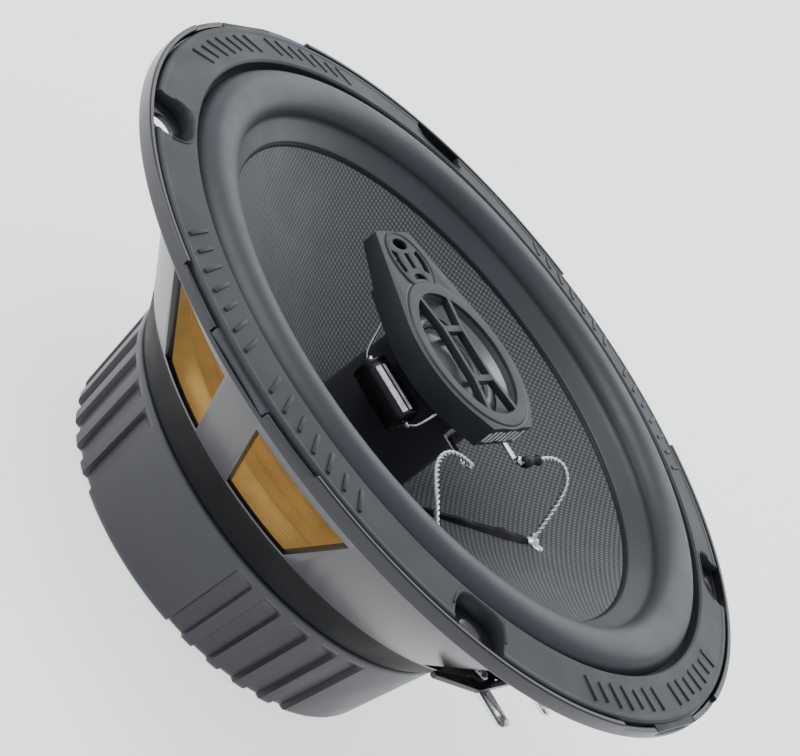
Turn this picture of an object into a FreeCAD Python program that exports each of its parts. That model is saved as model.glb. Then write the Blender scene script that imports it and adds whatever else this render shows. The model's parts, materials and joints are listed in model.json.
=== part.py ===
import FreeCAD, Part
import math
import os
import re
import Sketcher

# Coaxial car loudspeaker, 165 mm class.
# Frame: origin at the centre of the flange's rear mounting face, +Z towards the listener,
# +X towards the terminals, the small end of the tweeter housing towards -X. Millimetres.

V = FreeCAD.Vector
doc = FreeCAD.newDocument("coaxial_speaker")

# ---------------------------------------------------------------- driving dimensions
SIZES = {
    # flange and mounting
    "rim_radius": 83.2,              # outer radius of the basket's upstanding rim
    "rim_inner_radius": 82.1,
    "rim_height": 3.2,
    "rim_notch_half": 9.1,           # half width of the four notches for the trim ring's tabs
    "flange_thickness": 1.1,
    "flange_inner_radius": 69.8,
    "hole_circle_radius": 78.0,
    "screw_hole_radius": 2.75,
    # basket wall, windows and floor (depths are below the mounting face)
    "wall_radius": 71.8,
    "wall_inner_radius": 69.8,
    "wall_break_depth": 3.5,
    "rear_radius": 52.0,
    "rear_depth": 27.9,
    "ledge_radius": 51.0,
    "ledge_inner_radius": 46.4,
    "ledge_depth": 26.9,
    "floor_radius": 46.2,
    "floor_inner_radius": 44.4,
    "floor_hole_radius": 18.0,
    "floor_depth": 36.4,
    "floor_thickness": 1.2,
    "window_top_depth": 8.2,
    "window_bottom_depth": 25.9,
    "narrow_arm_half": 5.65,
    "window_inner_reach": 42.0,      # reach of the window cut along the wide arm
    "window_outer_reach": 78.0,
    "wide_arm_half_inner": 17.9,
    "wide_arm_half_outer": 22.0,
    "rivet_circle_radius": 30.0,
    "rivet_radius": 1.6,
    "rivet_head_radius": 2.8,
    "rivet_head_height": 1.0,
    # trim ring
    "ring_radius": 81.5,
    "ring_inner_radius": 72.0,
    "ring_bottom": 1.15,
    "ring_seat": 1.7,                # underside over the surround's foot
    "ring_seat_radius": 73.1,
    "ring_edge_top": 3.15,
    "ring_inner_top": 4.5,
    "slot_half": 6.4,
    "slot_end": 73.4,
    "slot_corner": 4.5,
    "tab_half": 8.8,
    "tab_top": 2.0,
    # surround
    "foot_radius": 72.9,
    "foot_top": 1.6,
    "roll_outer": 71.2,
    "roll_inner": 60.4,
    "roll_inner_z": 1.25,
    "roll_arc_radius": 5.5,
    "roll_wall": 0.6,
    "land_radius": 56.5,
    "land_top": -1.35,
    # cone
    "cone_rim_radius": 59.8,
    "cone_rim_z": 0.1,
    "cone_edge_radius": 56.5,
    "cone_edge_z": -2.2,
    "neck_z": -26.5,
    "cone_thickness": 0.75,
    # spider
    "spider_radius": 50.6,
    "spider_landing": 49.6,
    "spider_thickness": 0.5,
    "spider_inner_radius": 15.4,
    "spider_inner_landing": 18.0,
    "spider_inner_z": -29.2,
    "spider_crest_radius": 46.5,
    "spider_crest_mean": -24.9,
    "spider_inner_mean": -28.6,
    "spider_wave": 1.0,
    "spider_pitch": 7.0,
    # voice coil
    "former_inner": 15.15,
    "former_outer": 15.35,
    "former_top": -25.5,
    "former_bottom": -45.5,
    "winding_outer": 15.85,
    "winding_top": -34.75,
    "winding_bottom": -44.75,
    # magnet system
    "plate_radius": 39.5,
    "plate_thickness": 4.9,
    "gap_radius": 16.2,
    "magnet_radius": 41.5,
    "magnet_inner": 20.0,
    "magnet_thickness": 13.0,
    "yoke_thickness": 4.2,
    "pole_radius": 14.8,
    # magnet cover
    "cover_front_radius": 46.3,
    "cover_rear_radius": 42.9,
    "cover_wall": 1.5,
    "cover_rear_z": -59.7,
    "cover_rear_wall": 1.2,
    "groove_width": 4.1,
    "groove_depth": 0.9,
    "groove_pitch": 9.5,             # degrees
    "groove_front_z": -38.9,
    # tweeter post and its screw
    "post_radius": 12.8,
    "post_bore": 10.8,
    "post_floor": 3.0,
    "screw_radius": 1.9,
    "screw_head_radius": 3.8,
    # tweeter housing
    "housing_top": 6.1,
    "housing_bottom": 0.6,
    "housing_tip_bottom": 2.8,
    "housing_radius": 18.6,
    "tip_x": 29.2,                   # distance of the small end from the axis
    "tip_half": 7.0,
    "face_x": 17.4,                  # flat end face towards the terminals
    "face_half": 8.6,
    "opening_radius": 14.2,
    "horn_radius": 12.5,
    "horn_bottom": 2.4,
    "bezel_radius": 17.2,
    "bezel_height": 0.35,
    "super_x": -21.8,
    "super_radius": 6.9,
    "super_well_radius": 6.1,
    "super_well_floor": 3.0,
    "grille_seat": 5.5,
    "bar_width": 1.15,
    "bar_depth": 1.6,
    "bar_mid": 3.9,                  # distance of a long bar from the middle line
    "bar_end": 6.4,
    "bar_knee": 5.8,
    # tweeter motor and dome
    "dome_radius": 8.75,
    "dome_base": 2.2,
    "dome_height": 2.6,
    "dome_wall": 0.35,
    "tweeter_coil_inner": 8.45,
    "tweeter_coil_bottom": -2.6,
    "tweeter_surround_inner": 8.8,
    "tweeter_surround_outer": 12.4,
    "cup_radius": 10.6,
    "cup_inner": 9.1,
    "cup_bottom": -7.7,
    "cup_floor": -6.2,
    "cup_top": 1.0,
    "cup_magnet_radius": 7.6,
    "cup_magnet_top": -2.0,
    "cup_plate_radius": 8.1,
    "cup_plate_top": 0.6,
    # super tweeter element
    "disc_radius": 5.8,
    "disc_thickness": 0.3,
    "mini_dome_radius": 4.2,
    "mini_dome_base": 3.55,
    "mini_dome_height": 1.2,
    # crossover capacitor
    "capacitor_radius": 3.6,
    "capacitor_length": 13.0,
    "capacitor_x": -5.7,
    "capacitor_y": -16.6,
    "capacitor_z": -5.7,
    # terminals
    "board_outer": 57.8,
    "board_inner": 51.8,
    "board_half": 27.0,
    "board_corner": 13.7,
    "board_top": -22.3,
    "board_thickness": 1.2,
    "board_notch_half": 5.65,
    "board_notch": 56.4,
    "blade_thickness": 0.8,
    "blade_root": 53.0,
    "large_blade_width": 4.8,
    "small_blade_width": 2.8,
    "blade_offset": 9.8,
    "blade_tip": 65.6,
    "blade_hole_x": 62.6,
    "blade_hole_radius": 0.85,
    # leads
    "lead_radius": 0.75,
    "wire_radius": 0.35,
    "eyelet_x": 33.0,
    "eyelet_y": 21.4,
    "eyelet_radius": 1.9,
}

sheet = doc.addObject("Spreadsheet::Sheet", "Sizes")
for row, (alias, size) in enumerate(SIZES.items(), start=1):
    sheet.set(f"A{row}", alias)
    sheet.set(f"B{row}", str(size))
    sheet.setAlias(f"B{row}", alias)
doc.recompute()

WORD = re.compile(r"[a-z]+(?:_[a-z]+)*")


def bound(expression):
    """Write an expression over the sheet's aliases the way FreeCAD expects it."""
    return WORD.sub(lambda m: "Sizes." + m[0] if m[0] in SIZES else m[0], str(expression))


def number(expression):
    """The present value of such an expression."""
    result = sheet.evalExpression(bound(expression))
    return float(getattr(result, "Value", result))


# ---------------------------------------------------------------- sketch and feature helpers
def plane_of(body, role):
    return next(item for item in body.Origin.OriginFeatures if item.Role == role)


def new_sketch(body, name, role, height=None, turn=0.0):
    """A sketch on one of the body's origin planes, lifted by an expression and turned."""
    sketch = body.newObject("Sketcher::SketchObject", name)
    sketch.AttachmentSupport = [(plane_of(body, role), "")]
    sketch.MapMode = "FlatFace"
    sketch.AttachmentOffset = FreeCAD.Placement(V(0, 0, 0), FreeCAD.Rotation(V(0, 0, 1), turn))
    if height is not None:
        sketch.setExpression("AttachmentOffset.Base.z", bound(height))
    return sketch


def arc_between(start, end, radius):
    """The short arc from start to end; a positive radius turns anticlockwise."""
    chord = end - start
    half = chord.Length / 2
    rise = math.sqrt(max(radius * radius - half * half, 0.0))
    side = V(-chord.y, chord.x, 0).normalize() * math.copysign(rise, radius)
    centre = (start + end) / 2 + side
    first, last = (start, end) if radius > 0 else (end, start)
    circle = Part.Circle(centre, V(0, 0, 1), abs(radius))
    begin = math.atan2(first.y - centre.y, first.x - centre.x)
    finish = math.atan2(last.y - centre.y, last.x - centre.x)
    if finish < begin:
        finish += 2 * math.pi
    return Part.ArcOfCircle(circle, begin, finish)


def draw_outline(sketch, corners):
    """A closed outline. Each corner is (x, y) or (x, y, radius of the arc to the next corner)."""
    points = [V(number(corner[0]), number(corner[1]), 0) for corner in corners]
    ends = []
    for index, corner in enumerate(corners):
        start = points[index]
        end = points[(index + 1) % len(points)]
        if len(corner) == 2:
            edge = sketch.addGeometry(Part.LineSegment(start, end), False)
            ends.append((edge, 1, 2))
            continue
        radius = number(corner[2])
        edge = sketch.addGeometry(arc_between(start, end, radius), False)
        ends.append((edge, 1, 2) if radius > 0 else (edge, 2, 1))
        place = sketch.addConstraint(Sketcher.Constraint("Radius", edge, abs(radius)))
        sketch.setExpression(f"Constraints[{place}]", bound(f"abs({corner[2]})"))
    for index, corner in enumerate(corners):
        edge, first, last = ends[index]
        following = ends[(index + 1) % len(ends)]
        sketch.addConstraint(Sketcher.Constraint("Coincident", edge, last, following[0], following[1]))
        for kind, value, size in (("DistanceX", points[index].x, corner[0]),
                                  ("DistanceY", points[index].y, corner[1])):
            place = sketch.addConstraint(Sketcher.Constraint(kind, -1, 1, edge, first, value))
            sketch.setExpression(f"Constraints[{place}]", bound(size))


def draw_circle(sketch, x, y, radius):
    centre = V(number(x), number(y), 0)
    edge = sketch.addGeometry(Part.Circle(centre, V(0, 0, 1), number(radius)), False)
    for kind, value, size in (("DistanceX", centre.x, x), ("DistanceY", centre.y, y)):
        place = sketch.addConstraint(Sketcher.Constraint(kind, -1, 1, edge, 3, value))
        sketch.setExpression(f"Constraints[{place}]", bound(size))
    place = sketch.addConstraint(Sketcher.Constraint("Radius", edge, number(radius)))
    sketch.setExpression(f"Constraints[{place}]", bound(radius))


def turned_body(label, profile):
    """A body of revolution about Z; the profile's corners are (radius, height)."""
    body = doc.addObject("PartDesign::Body", label)
    sketch = new_sketch(body, label + "_profile", "XZ_Plane")
    draw_outline(sketch, profile)
    turn = body.newObject("PartDesign::Revolution", label + "_turn")
    turn.Profile = sketch
    turn.ReferenceAxis = (sketch, ["V_Axis"])
    turn.Angle = 360
    doc.recompute()
    return body


def tube_body(label, inner, outer, bottom, top):
    return turned_body(label, [(inner, bottom), (outer, bottom), (outer, top), (inner, top)])


def padded_body(label, corners, bottom, height):
    """An outline in plan, raised from the bottom by the height."""
    body = doc.addObject("PartDesign::Body", label)
    sketch = new_sketch(body, label + "_plan", "XY_Plane", bottom)
    draw_outline(sketch, corners)
    pad = body.newObject("PartDesign::Pad", label + "_pad")
    pad.Profile = sketch
    pad.setExpression("Length", bound(height))
    doc.recompute()
    return body


def add_pad(body, name, outlines, bottom, height, copies=1, turn=0.0):
    sketch = new_sketch(body, name + "_plan", "XY_Plane", bottom, turn)
    for corners in outlines:
        draw_outline(sketch, corners)
    pad = body.newObject("PartDesign::Pad", name)
    pad.Profile = sketch
    pad.setExpression("Length", bound(height))
    doc.recompute()
    repeat(body, pad, copies)


def cut_up(body, name, draw, bottom, height, copies=1, turn=0.0):
    """A pocket from the bottom height upwards; it has to take material away."""
    before = body.Shape.Volume
    sketch = new_sketch(body, name + "_plan", "XY_Plane", bottom, turn)
    draw(sketch)
    pocket = body.newObject("PartDesign::Pocket", name)
    pocket.Profile = sketch
    pocket.Reversed = True
    pocket.setExpression("Length", bound(height))
    doc.recompute()
    repeat(body, pocket, copies)
    if body.Shape.Volume >= before - 1e-3:
        raise RuntimeError(name + " cuts nothing")


def cut_round(body, name, profile):
    """A turned cut about Z; it has to take material away."""
    before = body.Shape.Volume
    sketch = new_sketch(body, name + "_profile", "XZ_Plane")
    draw_outline(sketch, profile)
    groove = body.newObject("PartDesign::Groove", name)
    groove.Profile = sketch
    groove.ReferenceAxis = (sketch, ["V_Axis"])
    groove.Angle = 360
    doc.recompute()
    if body.Shape.Volume >= before - 1e-3:
        raise RuntimeError(name + " cuts nothing")


def repeat(body, feature, copies):
    """Copies of a feature spread evenly about Z."""
    if copies < 2:
        return
    pattern = body.newObject("PartDesign::PolarPattern", feature.Name + "_pattern")
    pattern.Originals = [feature]
    pattern.Axis = (feature.Profile[0], ["N_Axis"])
    pattern.Angle = 360
    pattern.Occurrences = copies
    body.Tip = pattern
    doc.recompute()


def mirrored(corners):
    """The same outline on the other side of the X axis."""
    flipped = []
    for corner in corners:
        flipped.append((corner[0], f"-({corner[1]})"))
    return flipped


def shaped(label, shape):
    """A sub-part whose form only Part's own functions make."""
    feature = doc.addObject("Part::Feature", label)
    feature.Shape = shape
    feature.Placement = FreeCAD.Placement()
    return feature


def rounded_path(points):
    """Straight runs joined by tangent arcs as large as the runs allow."""
    points = [V(*point) for point in points]
    edges = []
    start = points[0]
    radii = []
    for before, corner, after in zip(points, points[1:], points[2:]):
        run_in = corner - before
        run_out = after - corner
        turn = run_in.getAngle(run_out)
        reach = 0.45 * min(run_in.Length, run_out.Length)
        radii.append(reach / math.tan(turn / 2))
        entry = corner - V(run_in).normalize() * reach
        leave = corner + V(run_out).normalize() * reach
        centre_way = (V(run_out).normalize() - V(run_in).normalize()).normalize()
        centre = corner + centre_way * (radii[-1] / math.cos(turn / 2))
        middle = centre - centre_way * radii[-1]
        edges.append(Part.LineSegment(start, entry).toShape())
        edges.append(Part.Arc(entry, middle, leave).toShape())
        start = leave
    edges.append(Part.LineSegment(start, points[-1]).toShape())
    return Part.Wire(edges), radii


def tube_along(points, radius):
    """A round tube along a route; its volume is compared with section times length."""
    path, radii = rounded_path(points)
    direction = V(*points[1]) - V(*points[0])
    section = Part.Wire([Part.Circle(V(*points[0]), direction, radius).toShape()])
    tube = path.makePipeShell([section], True, False)
    expected = math.pi * radius ** 2 * path.Length
    if abs(tube.Volume / expected - 1) > 0.02:
        raise RuntimeError("tube volume is off")
    print("tube length %.1f, radii %s" % (path.Length, " ".join("%.1f" % r for r in radii)))
    return tube


# ---------------------------------------------------------------- basket
def make_basket():
    basket = turned_body("basket", [
        ("flange_inner_radius", "flange_thickness"),
        ("wall_inner_radius", "-wall_break_depth"),
        ("ledge_radius", "-ledge_depth"),
        ("ledge_inner_radius", "-ledge_depth"),
        ("floor_inner_radius", "-floor_depth + floor_thickness"),
        ("floor_hole_radius", "-floor_depth + floor_thickness"),
        ("floor_hole_radius", "-floor_depth"),
        ("floor_radius", "-floor_depth"),
        ("rear_radius", "-rear_depth"),
        ("wall_radius", "-wall_break_depth"),
        ("wall_radius", "0"),
        ("rim_radius - 0.3", "0"),
        ("rim_radius", "0.3"),
        ("rim_radius", "rim_height - 0.35"),
        ("rim_radius - 0.35", "rim_height"),
        ("rim_inner_radius", "rim_height"),
        ("rim_inner_radius", "flange_thickness"),
    ])
    window = [
        ("window_inner_reach", "narrow_arm_half"),
        ("window_outer_reach + 2", "narrow_arm_half"),
        ("(window_outer_reach + wide_arm_half_outer) * sqrt(0.5)",
         "(window_outer_reach - wide_arm_half_outer) * sqrt(0.5)"),
        ("(window_inner_reach + wide_arm_half_inner) * sqrt(0.5)",
         "(window_inner_reach - wide_arm_half_inner) * sqrt(0.5)"),
    ]

    def windows(sketch):
        draw_outline(sketch, window)
        draw_outline(sketch, mirrored(window))

    def hole(sketch):
        draw_circle(sketch, "hole_circle_radius", "0", "screw_hole_radius")

    def rivet_hole(sketch):
        draw_circle(sketch, "rivet_circle_radius", "0", "rivet_radius + 0.02")

    def notch(sketch):
        draw_outline(sketch, [("rim_inner_radius - 1.2", "-rim_notch_half"),
                              ("rim_radius + 2", "-rim_notch_half"),
                              ("rim_radius + 2", "rim_notch_half"),
                              ("rim_inner_radius - 1.2", "rim_notch_half")])

    cut_up(basket, "windows", windows, "-window_bottom_depth",
           "window_bottom_depth - window_top_depth", copies=4)
    cut_up(basket, "screw_holes", hole, "-0.5", "flange_thickness + 1", copies=4, turn=45.0)
    cut_up(basket, "rim_notches", notch, "flange_thickness", "rim_height", copies=4)
    cut_up(basket, "rivet_holes", rivet_hole, "-floor_depth - 0.5", "floor_thickness + 1",
           copies=4, turn=45.0)
    return basket


# ---------------------------------------------------------------- trim ring
def make_trim_ring():
    ring = turned_body("trim_ring", [
        ("ring_inner_radius", "ring_seat"),
        ("ring_seat_radius", "ring_seat"),
        ("ring_seat_radius", "ring_bottom"),
        ("ring_radius", "ring_bottom"),
        ("ring_radius", "ring_edge_top - 0.35"),
        ("ring_radius - 0.4", "ring_edge_top"),
        ("ring_inner_radius + 0.5", "ring_inner_top"),
        ("ring_inner_radius", "ring_inner_top - 0.4"),
    ])
    tab = [("ring_radius - 1.5", "-tab_half"),
           ("rim_radius - 0.6", "-tab_half"),
           ("rim_radius - 0.6", "tab_half"),
           ("ring_radius - 1.5", "tab_half")]

    def slot(sketch):
        draw_outline(sketch, [
            ("rim_radius + 1", "-slot_half"),
            ("rim_radius + 1", "slot_half"),
            ("slot_end + slot_corner", "slot_half", "slot_corner"),
            ("slot_end", "slot_half - slot_corner"),
            ("slot_end", "-slot_half + slot_corner", "slot_corner"),
            ("slot_end + slot_corner", "-slot_half"),
        ])

    add_pad(ring, "ring_tabs", [tab], "ring_bottom", "tab_top - ring_bottom", copies=4)
    cut_up(ring, "ring_slots", slot, "0", "ring_inner_top + 1", copies=4, turn=45.0)
    return ring


# ---------------------------------------------------------------- moving diaphragm
def make_surround():
    return turned_body("surround", [
        ("flange_inner_radius + 0.6", "flange_thickness"),
        ("foot_radius", "flange_thickness"),
        ("foot_radius", "foot_top"),
        ("roll_outer", "foot_top", "roll_arc_radius"),
        ("roll_inner", "roll_inner_z"),
        ("land_radius", "land_top"),
        ("land_radius + 0.3", "land_top - 0.42"),
        ("roll_inner + roll_wall", "roll_inner_z - 0.35", "-(roll_arc_radius - roll_wall)"),
    ])


def make_cone():
    return turned_body("cone", [
        ("former_outer + 0.05", "neck_z"),
        ("former_outer + 0.05", "neck_z - cone_thickness"),
        ("cone_edge_radius", "cone_edge_z - cone_thickness"),
        ("cone_rim_radius", "cone_rim_z - cone_thickness"),
        ("cone_rim_radius", "cone_rim_z"),
        ("cone_edge_radius", "cone_edge_z"),
    ])


def make_spider():
    """Corrugated disc: crests and valleys along a line from the landing to the voice coil."""
    landing = number("spider_landing")
    inner = number("spider_inner_landing")
    crest = number("spider_crest_radius")
    half_pitch = number("spider_pitch") / 2
    wave = number("spider_wave")
    thickness = number("spider_thickness")
    outer_z = -number("ledge_depth")
    inner_z = number("spider_inner_z")
    outer_mean = number("spider_crest_mean")
    inner_mean = number("spider_inner_mean")
    lower = [(number("spider_radius"), outer_z), (landing, outer_z)]
    step = 0
    while crest - step * half_pitch > inner + half_pitch / 2:
        radius = crest - step * half_pitch
        share = (crest - radius) / (crest - inner)
        middle = outer_mean + (inner_mean - outer_mean) * share
        lower.append((radius, middle + (-wave if step % 2 else wave) - thickness))
        step += 1
    lower += [(inner, inner_z), (number("spider_inner_radius"), inner_z)]
    upper = [(radius, height + thickness) for radius, height in reversed(lower)]
    outline = Part.makePolygon([V(radius, 0, height) for radius, height in lower + upper + lower[:1]])
    return shaped("spider", Part.Face(outline).revolve(V(0, 0, 0), V(0, 0, 1), 360))


def make_neck_adhesive():
    return turned_body("neck_adhesive", [
        ("former_outer", "neck_z + 0.9"),
        ("former_outer", "neck_z + 0.06"),
        ("former_outer + 1.6", "neck_z + 1.0"),
    ])


# ---------------------------------------------------------------- magnet system
def make_top_plate():
    plate = tube_body("top_plate", "gap_radius", "plate_radius",
                      "-floor_depth - plate_thickness", "-floor_depth")

    def rivet_hole(sketch):
        draw_circle(sketch, "rivet_circle_radius", "0", "rivet_radius + 0.02")

    cut_up(plate, "plate_holes", rivet_hole, "-floor_depth - plate_thickness - 0.5",
           "plate_thickness + 1", copies=4, turn=45.0)
    return plate


def make_yoke():
    bottom = "-floor_depth - plate_thickness - magnet_thickness"
    return turned_body("pole_yoke", [
        ("screw_radius", "-floor_depth"),
        ("screw_radius", "-floor_depth - 14"),
        ("0", "-floor_depth - 15"),
        ("0", bottom + " - yoke_thickness"),
        ("plate_radius", bottom + " - yoke_thickness"),
        ("plate_radius", bottom),
        ("pole_radius", bottom),
        ("pole_radius", "-floor_depth - 0.6"),
        ("pole_radius - 0.6", "-floor_depth"),
    ])


def make_basket_rivets():
    """Four rivets through the basket's floor and the top plate, in one node."""
    rivets = []
    spot = number("rivet_circle_radius")
    head_bottom = -number("floor_depth") + number("floor_thickness")
    shank_bottom = -number("floor_depth") - number("plate_thickness")
    for quarter in range(4):
        angle = math.radians(45 + 90 * quarter)
        foot = V(spot * math.cos(angle), spot * math.sin(angle), shank_bottom)
        shank = Part.makeCylinder(number("rivet_radius"), head_bottom - shank_bottom, foot)
        head = Part.makeCone(number("rivet_head_radius"), number("rivet_radius"),
                             number("rivet_head_height"), V(foot.x, foot.y, head_bottom))
        rivets.append(shank.fuse(head).removeSplitter())
    return shaped("basket_rivets", Part.makeCompound(rivets))


def make_cover():
    """Rubber boot over the magnet, with four groups of axial grooves."""
    shell = turned_body("cover_shell", [
        ("cover_front_radius - 0.5", "-floor_depth - 0.1"),
        ("cover_front_radius", "-floor_depth - 0.7"),
        ("cover_rear_radius", "cover_rear_z + 1.2"),
        ("cover_rear_radius - 0.4", "cover_rear_z + 0.35"),
        ("cover_rear_radius - 1.3", "cover_rear_z"),
        ("24", "cover_rear_z"),
        ("23.4", "cover_rear_z + 0.4"),
        ("0", "cover_rear_z + 0.4"),
        ("0", "cover_rear_z + cover_rear_wall"),
        ("cover_rear_radius - cover_wall", "cover_rear_z + cover_rear_wall"),
        ("cover_front_radius - cover_wall", "-floor_depth - 0.1"),
    ])
    slope = math.degrees(math.atan2(number("cover_front_radius - cover_rear_radius"),
                                    number("-floor_depth - cover_rear_z - 1.9")))
    grooves = []
    for middle in (-45.7, 45.7, -130.0, 130.0):
        for step in range(-2, 3):
            groove = doc.addObject("Part::Box", "groove")
            groove.setExpression("Length", "4")
            groove.setExpression("Width", bound("groove_width"))
            groove.setExpression("Height", bound("groove_front_z - cover_rear_z + 3"))
            angle = middle + step * number("groove_pitch")
            turn = FreeCAD.Rotation(V(0, 0, 1), angle)
            lean = FreeCAD.Rotation(V(0, 1, 0), slope)
            start = V(number("cover_rear_radius - groove_depth"), -number("groove_width") / 2, 0)
            base = turn.multVec(start) + V(0, 0, number("cover_rear_z + 1.2"))
            back = turn.multiply(lean).multVec(V(0, 0, -4))
            groove.Placement = FreeCAD.Placement(base + back, turn.multiply(lean))
            grooves.append(groove)
    tools = doc.addObject("Part::MultiFuse", "groove_tools")
    tools.Shapes = grooves
    cover = doc.addObject("Part::Cut", "magnet_cover")
    cover.Base = shell
    cover.Tool = tools
    return cover


# ---------------------------------------------------------------- tweeter post and housing
def make_post():
    return turned_body("tweeter_post", [
        ("screw_radius + 0.3", "-floor_depth + 0.02"),
        ("post_radius", "-floor_depth + 0.02"),
        ("post_radius", "housing_bottom"),
        ("post_bore", "housing_bottom"),
        ("post_bore", "-floor_depth + post_floor"),
        ("screw_radius + 0.3", "-floor_depth + post_floor"),
    ])


def make_post_screw():
    return turned_body("post_screw", [
        ("0", "-floor_depth - 12"),
        ("screw_radius - 0.05", "-floor_depth - 12"),
        ("screw_radius - 0.05", "-floor_depth + post_floor"),
        ("screw_head_radius", "-floor_depth + post_floor"),
        ("screw_head_radius", "-floor_depth + post_floor + 2"),
        ("screw_head_radius - 1.2", "-floor_depth + post_floor + 2.8"),
        ("1.4", "-floor_depth + post_floor + 2.8"),
        ("1.4", "-floor_depth + post_floor + 1.2"),
        ("0", "-floor_depth + post_floor + 1.2"),
    ])


def housing_outline(margin="0"):
    """Teardrop: a round head, a flat face towards +X and straight flanks to the small end."""
    head = number("housing_radius")
    tip = V(-number("tip_x"), number("tip_half"), 0)
    reach = math.hypot(tip.x, tip.y)
    touch = math.degrees(math.atan2(tip.y, tip.x) - math.acos(head / reach))
    touch_x = f"housing_radius * cos({touch:.4f})"
    touch_y = f"housing_radius * sin({touch:.4f})"
    shoulder_x = "housing_radius * cos(40)"
    shoulder_y = "housing_radius * sin(40)"
    return [
        ("-tip_x + 1.2", "tip_half"),
        ("-tip_x", "tip_half - 1.4"),
        ("-tip_x", "-tip_half + 1.4"),
        ("-tip_x + 1.2", "-tip_half"),
        (touch_x, f"-{touch_y}", "housing_radius"),
        (shoulder_x, f"-{shoulder_y}"),
        ("face_x - 0.5", "-face_half - 0.8"),
        ("face_x", "-face_half"),
        ("face_x", "face_half"),
        ("face_x - 0.5", "face_half + 0.8"),
        (shoulder_x, shoulder_y, "housing_radius"),
        (touch_x, touch_y),
    ]


def make_housing():
    housing = padded_body("tweeter_housing", housing_outline(), "housing_bottom",
                          "housing_top - housing_bottom")

    def motor_hole(sketch):
        draw_circle(sketch, "0", "0", "cup_radius + 0.05")

    def super_well(sketch):
        draw_circle(sketch, "super_x", "0", "super_well_radius")

    def super_seat(sketch):
        draw_circle(sketch, "super_x", "0", "super_radius + 0.1")

    cut_round(housing, "chamber", [
        ("0", "housing_bottom + 1.2"),
        ("horn_radius", "housing_bottom + 1.2"),
        ("horn_radius", "horn_bottom"),
        ("opening_radius", "housing_top - 1.7"),
        ("opening_radius", "housing_top + 1"),
        ("0", "housing_top + 1"),
    ])
    cut_up(housing, "motor_hole", motor_hole, "housing_bottom - 1", "4")
    cut_up(housing, "super_well", super_well, "super_well_floor", "housing_top")
    cut_up(housing, "super_seat", super_seat, "grille_seat", "housing_top")

    wedge = new_sketch(housing, "slope_side", "XZ_Plane")
    draw_outline(wedge, [
        ("-tip_x - 2", "housing_bottom - 2"),
        ("-post_radius - 1", "housing_bottom - 2"),
        ("-post_radius - 1", "housing_bottom"),
        ("-tip_x - 2", "housing_tip_bottom + 0.25"),
    ])
    before = housing.Shape.Volume
    slope = housing.newObject("PartDesign::Pocket", "underside_slope")
    slope.Profile = wedge
    slope.Midplane = True
    slope.Length = 60
    doc.recompute()
    if housing.Shape.Volume >= before:
        raise RuntimeError("the underside slope cuts nothing")

    top = number("housing_top")
    rim = []
    for index, edge in enumerate(housing.Shape.Edges, start=1):
        box = edge.BoundBox
        flat = abs(box.ZMin - top) < 1e-6 and abs(box.ZMax - top) < 1e-6
        middle = edge.valueAt((edge.FirstParameter + edge.LastParameter) / 2)
        outside = math.hypot(middle.x, middle.y) > number("opening_radius") + 1
        in_well = math.hypot(middle.x - number("super_x"), middle.y) < number("super_radius") - 0.5
        on_seat = edge.Curve.TypeId == "Part::GeomCircle" and edge.Closed
        if flat and outside and not in_well and not on_seat:
            rim.append(f"Edge{index}")
    soften = housing.newObject("PartDesign::Fillet", "top_edge")
    soften.Base = (slope, rim)
    soften.Radius = 0.45
    doc.recompute()
    return housing


def make_tweeter_grille():
    """Raised bezel round the opening with two kneed bars and two cross bars."""
    bezel = turned_body("grille_bezel", [
        ("opening_radius", "housing_top"),
        ("bezel_radius", "housing_top"),
        ("bezel_radius - 0.35", "housing_top + bezel_height"),
        ("opening_radius", "housing_top + bezel_height"),
    ])
    bottom = "housing_top + bezel_height - bar_depth"
    half = "bar_width / 2"
    long_bar = [
        ("-opening_radius - 0.6", f"bar_end - {half}"),
        ("-bar_knee", f"bar_mid - {half}"),
        ("bar_knee", f"bar_mid - {half}"),
        ("opening_radius + 0.6", f"bar_end - {half}"),
        ("opening_radius + 0.6", f"bar_end + {half}"),
        ("bar_knee", f"bar_mid + {half}"),
        ("-bar_knee", f"bar_mid + {half}"),
        ("-opening_radius - 0.6", f"bar_end + {half}"),
    ]
    bars = []
    for name, corners in (("bar_far", long_bar), ("bar_near", mirrored(long_bar))):
        bars.append(padded_body(name, corners, bottom, "bar_depth"))
    for name, middle in (("cross_left", "-bar_knee"), ("cross_right", "bar_knee")):
        cross = [(f"{middle} - {half}", "-bar_mid"), (f"{middle} + {half}", "-bar_mid"),
                 (f"{middle} + {half}", "bar_mid"), (f"{middle} - {half}", "bar_mid")]
        bars.append(padded_body(name, cross, bottom, "bar_depth"))
    inside = doc.addObject("Part::Cylinder", "opening_cylinder")
    inside.setExpression("Radius", bound("opening_radius"))
    inside.Height = 20
    frame = doc.addObject("Part::MultiFuse", "bar_frame")
    frame.Shapes = bars
    trimmed = doc.addObject("Part::Common", "bars_in_opening")
    trimmed.Base = frame
    trimmed.Tool = inside
    grille = doc.addObject("Part::Fuse", "tweeter_grille")
    grille.Base = bezel
    grille.Tool = trimmed
    return grille


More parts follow.
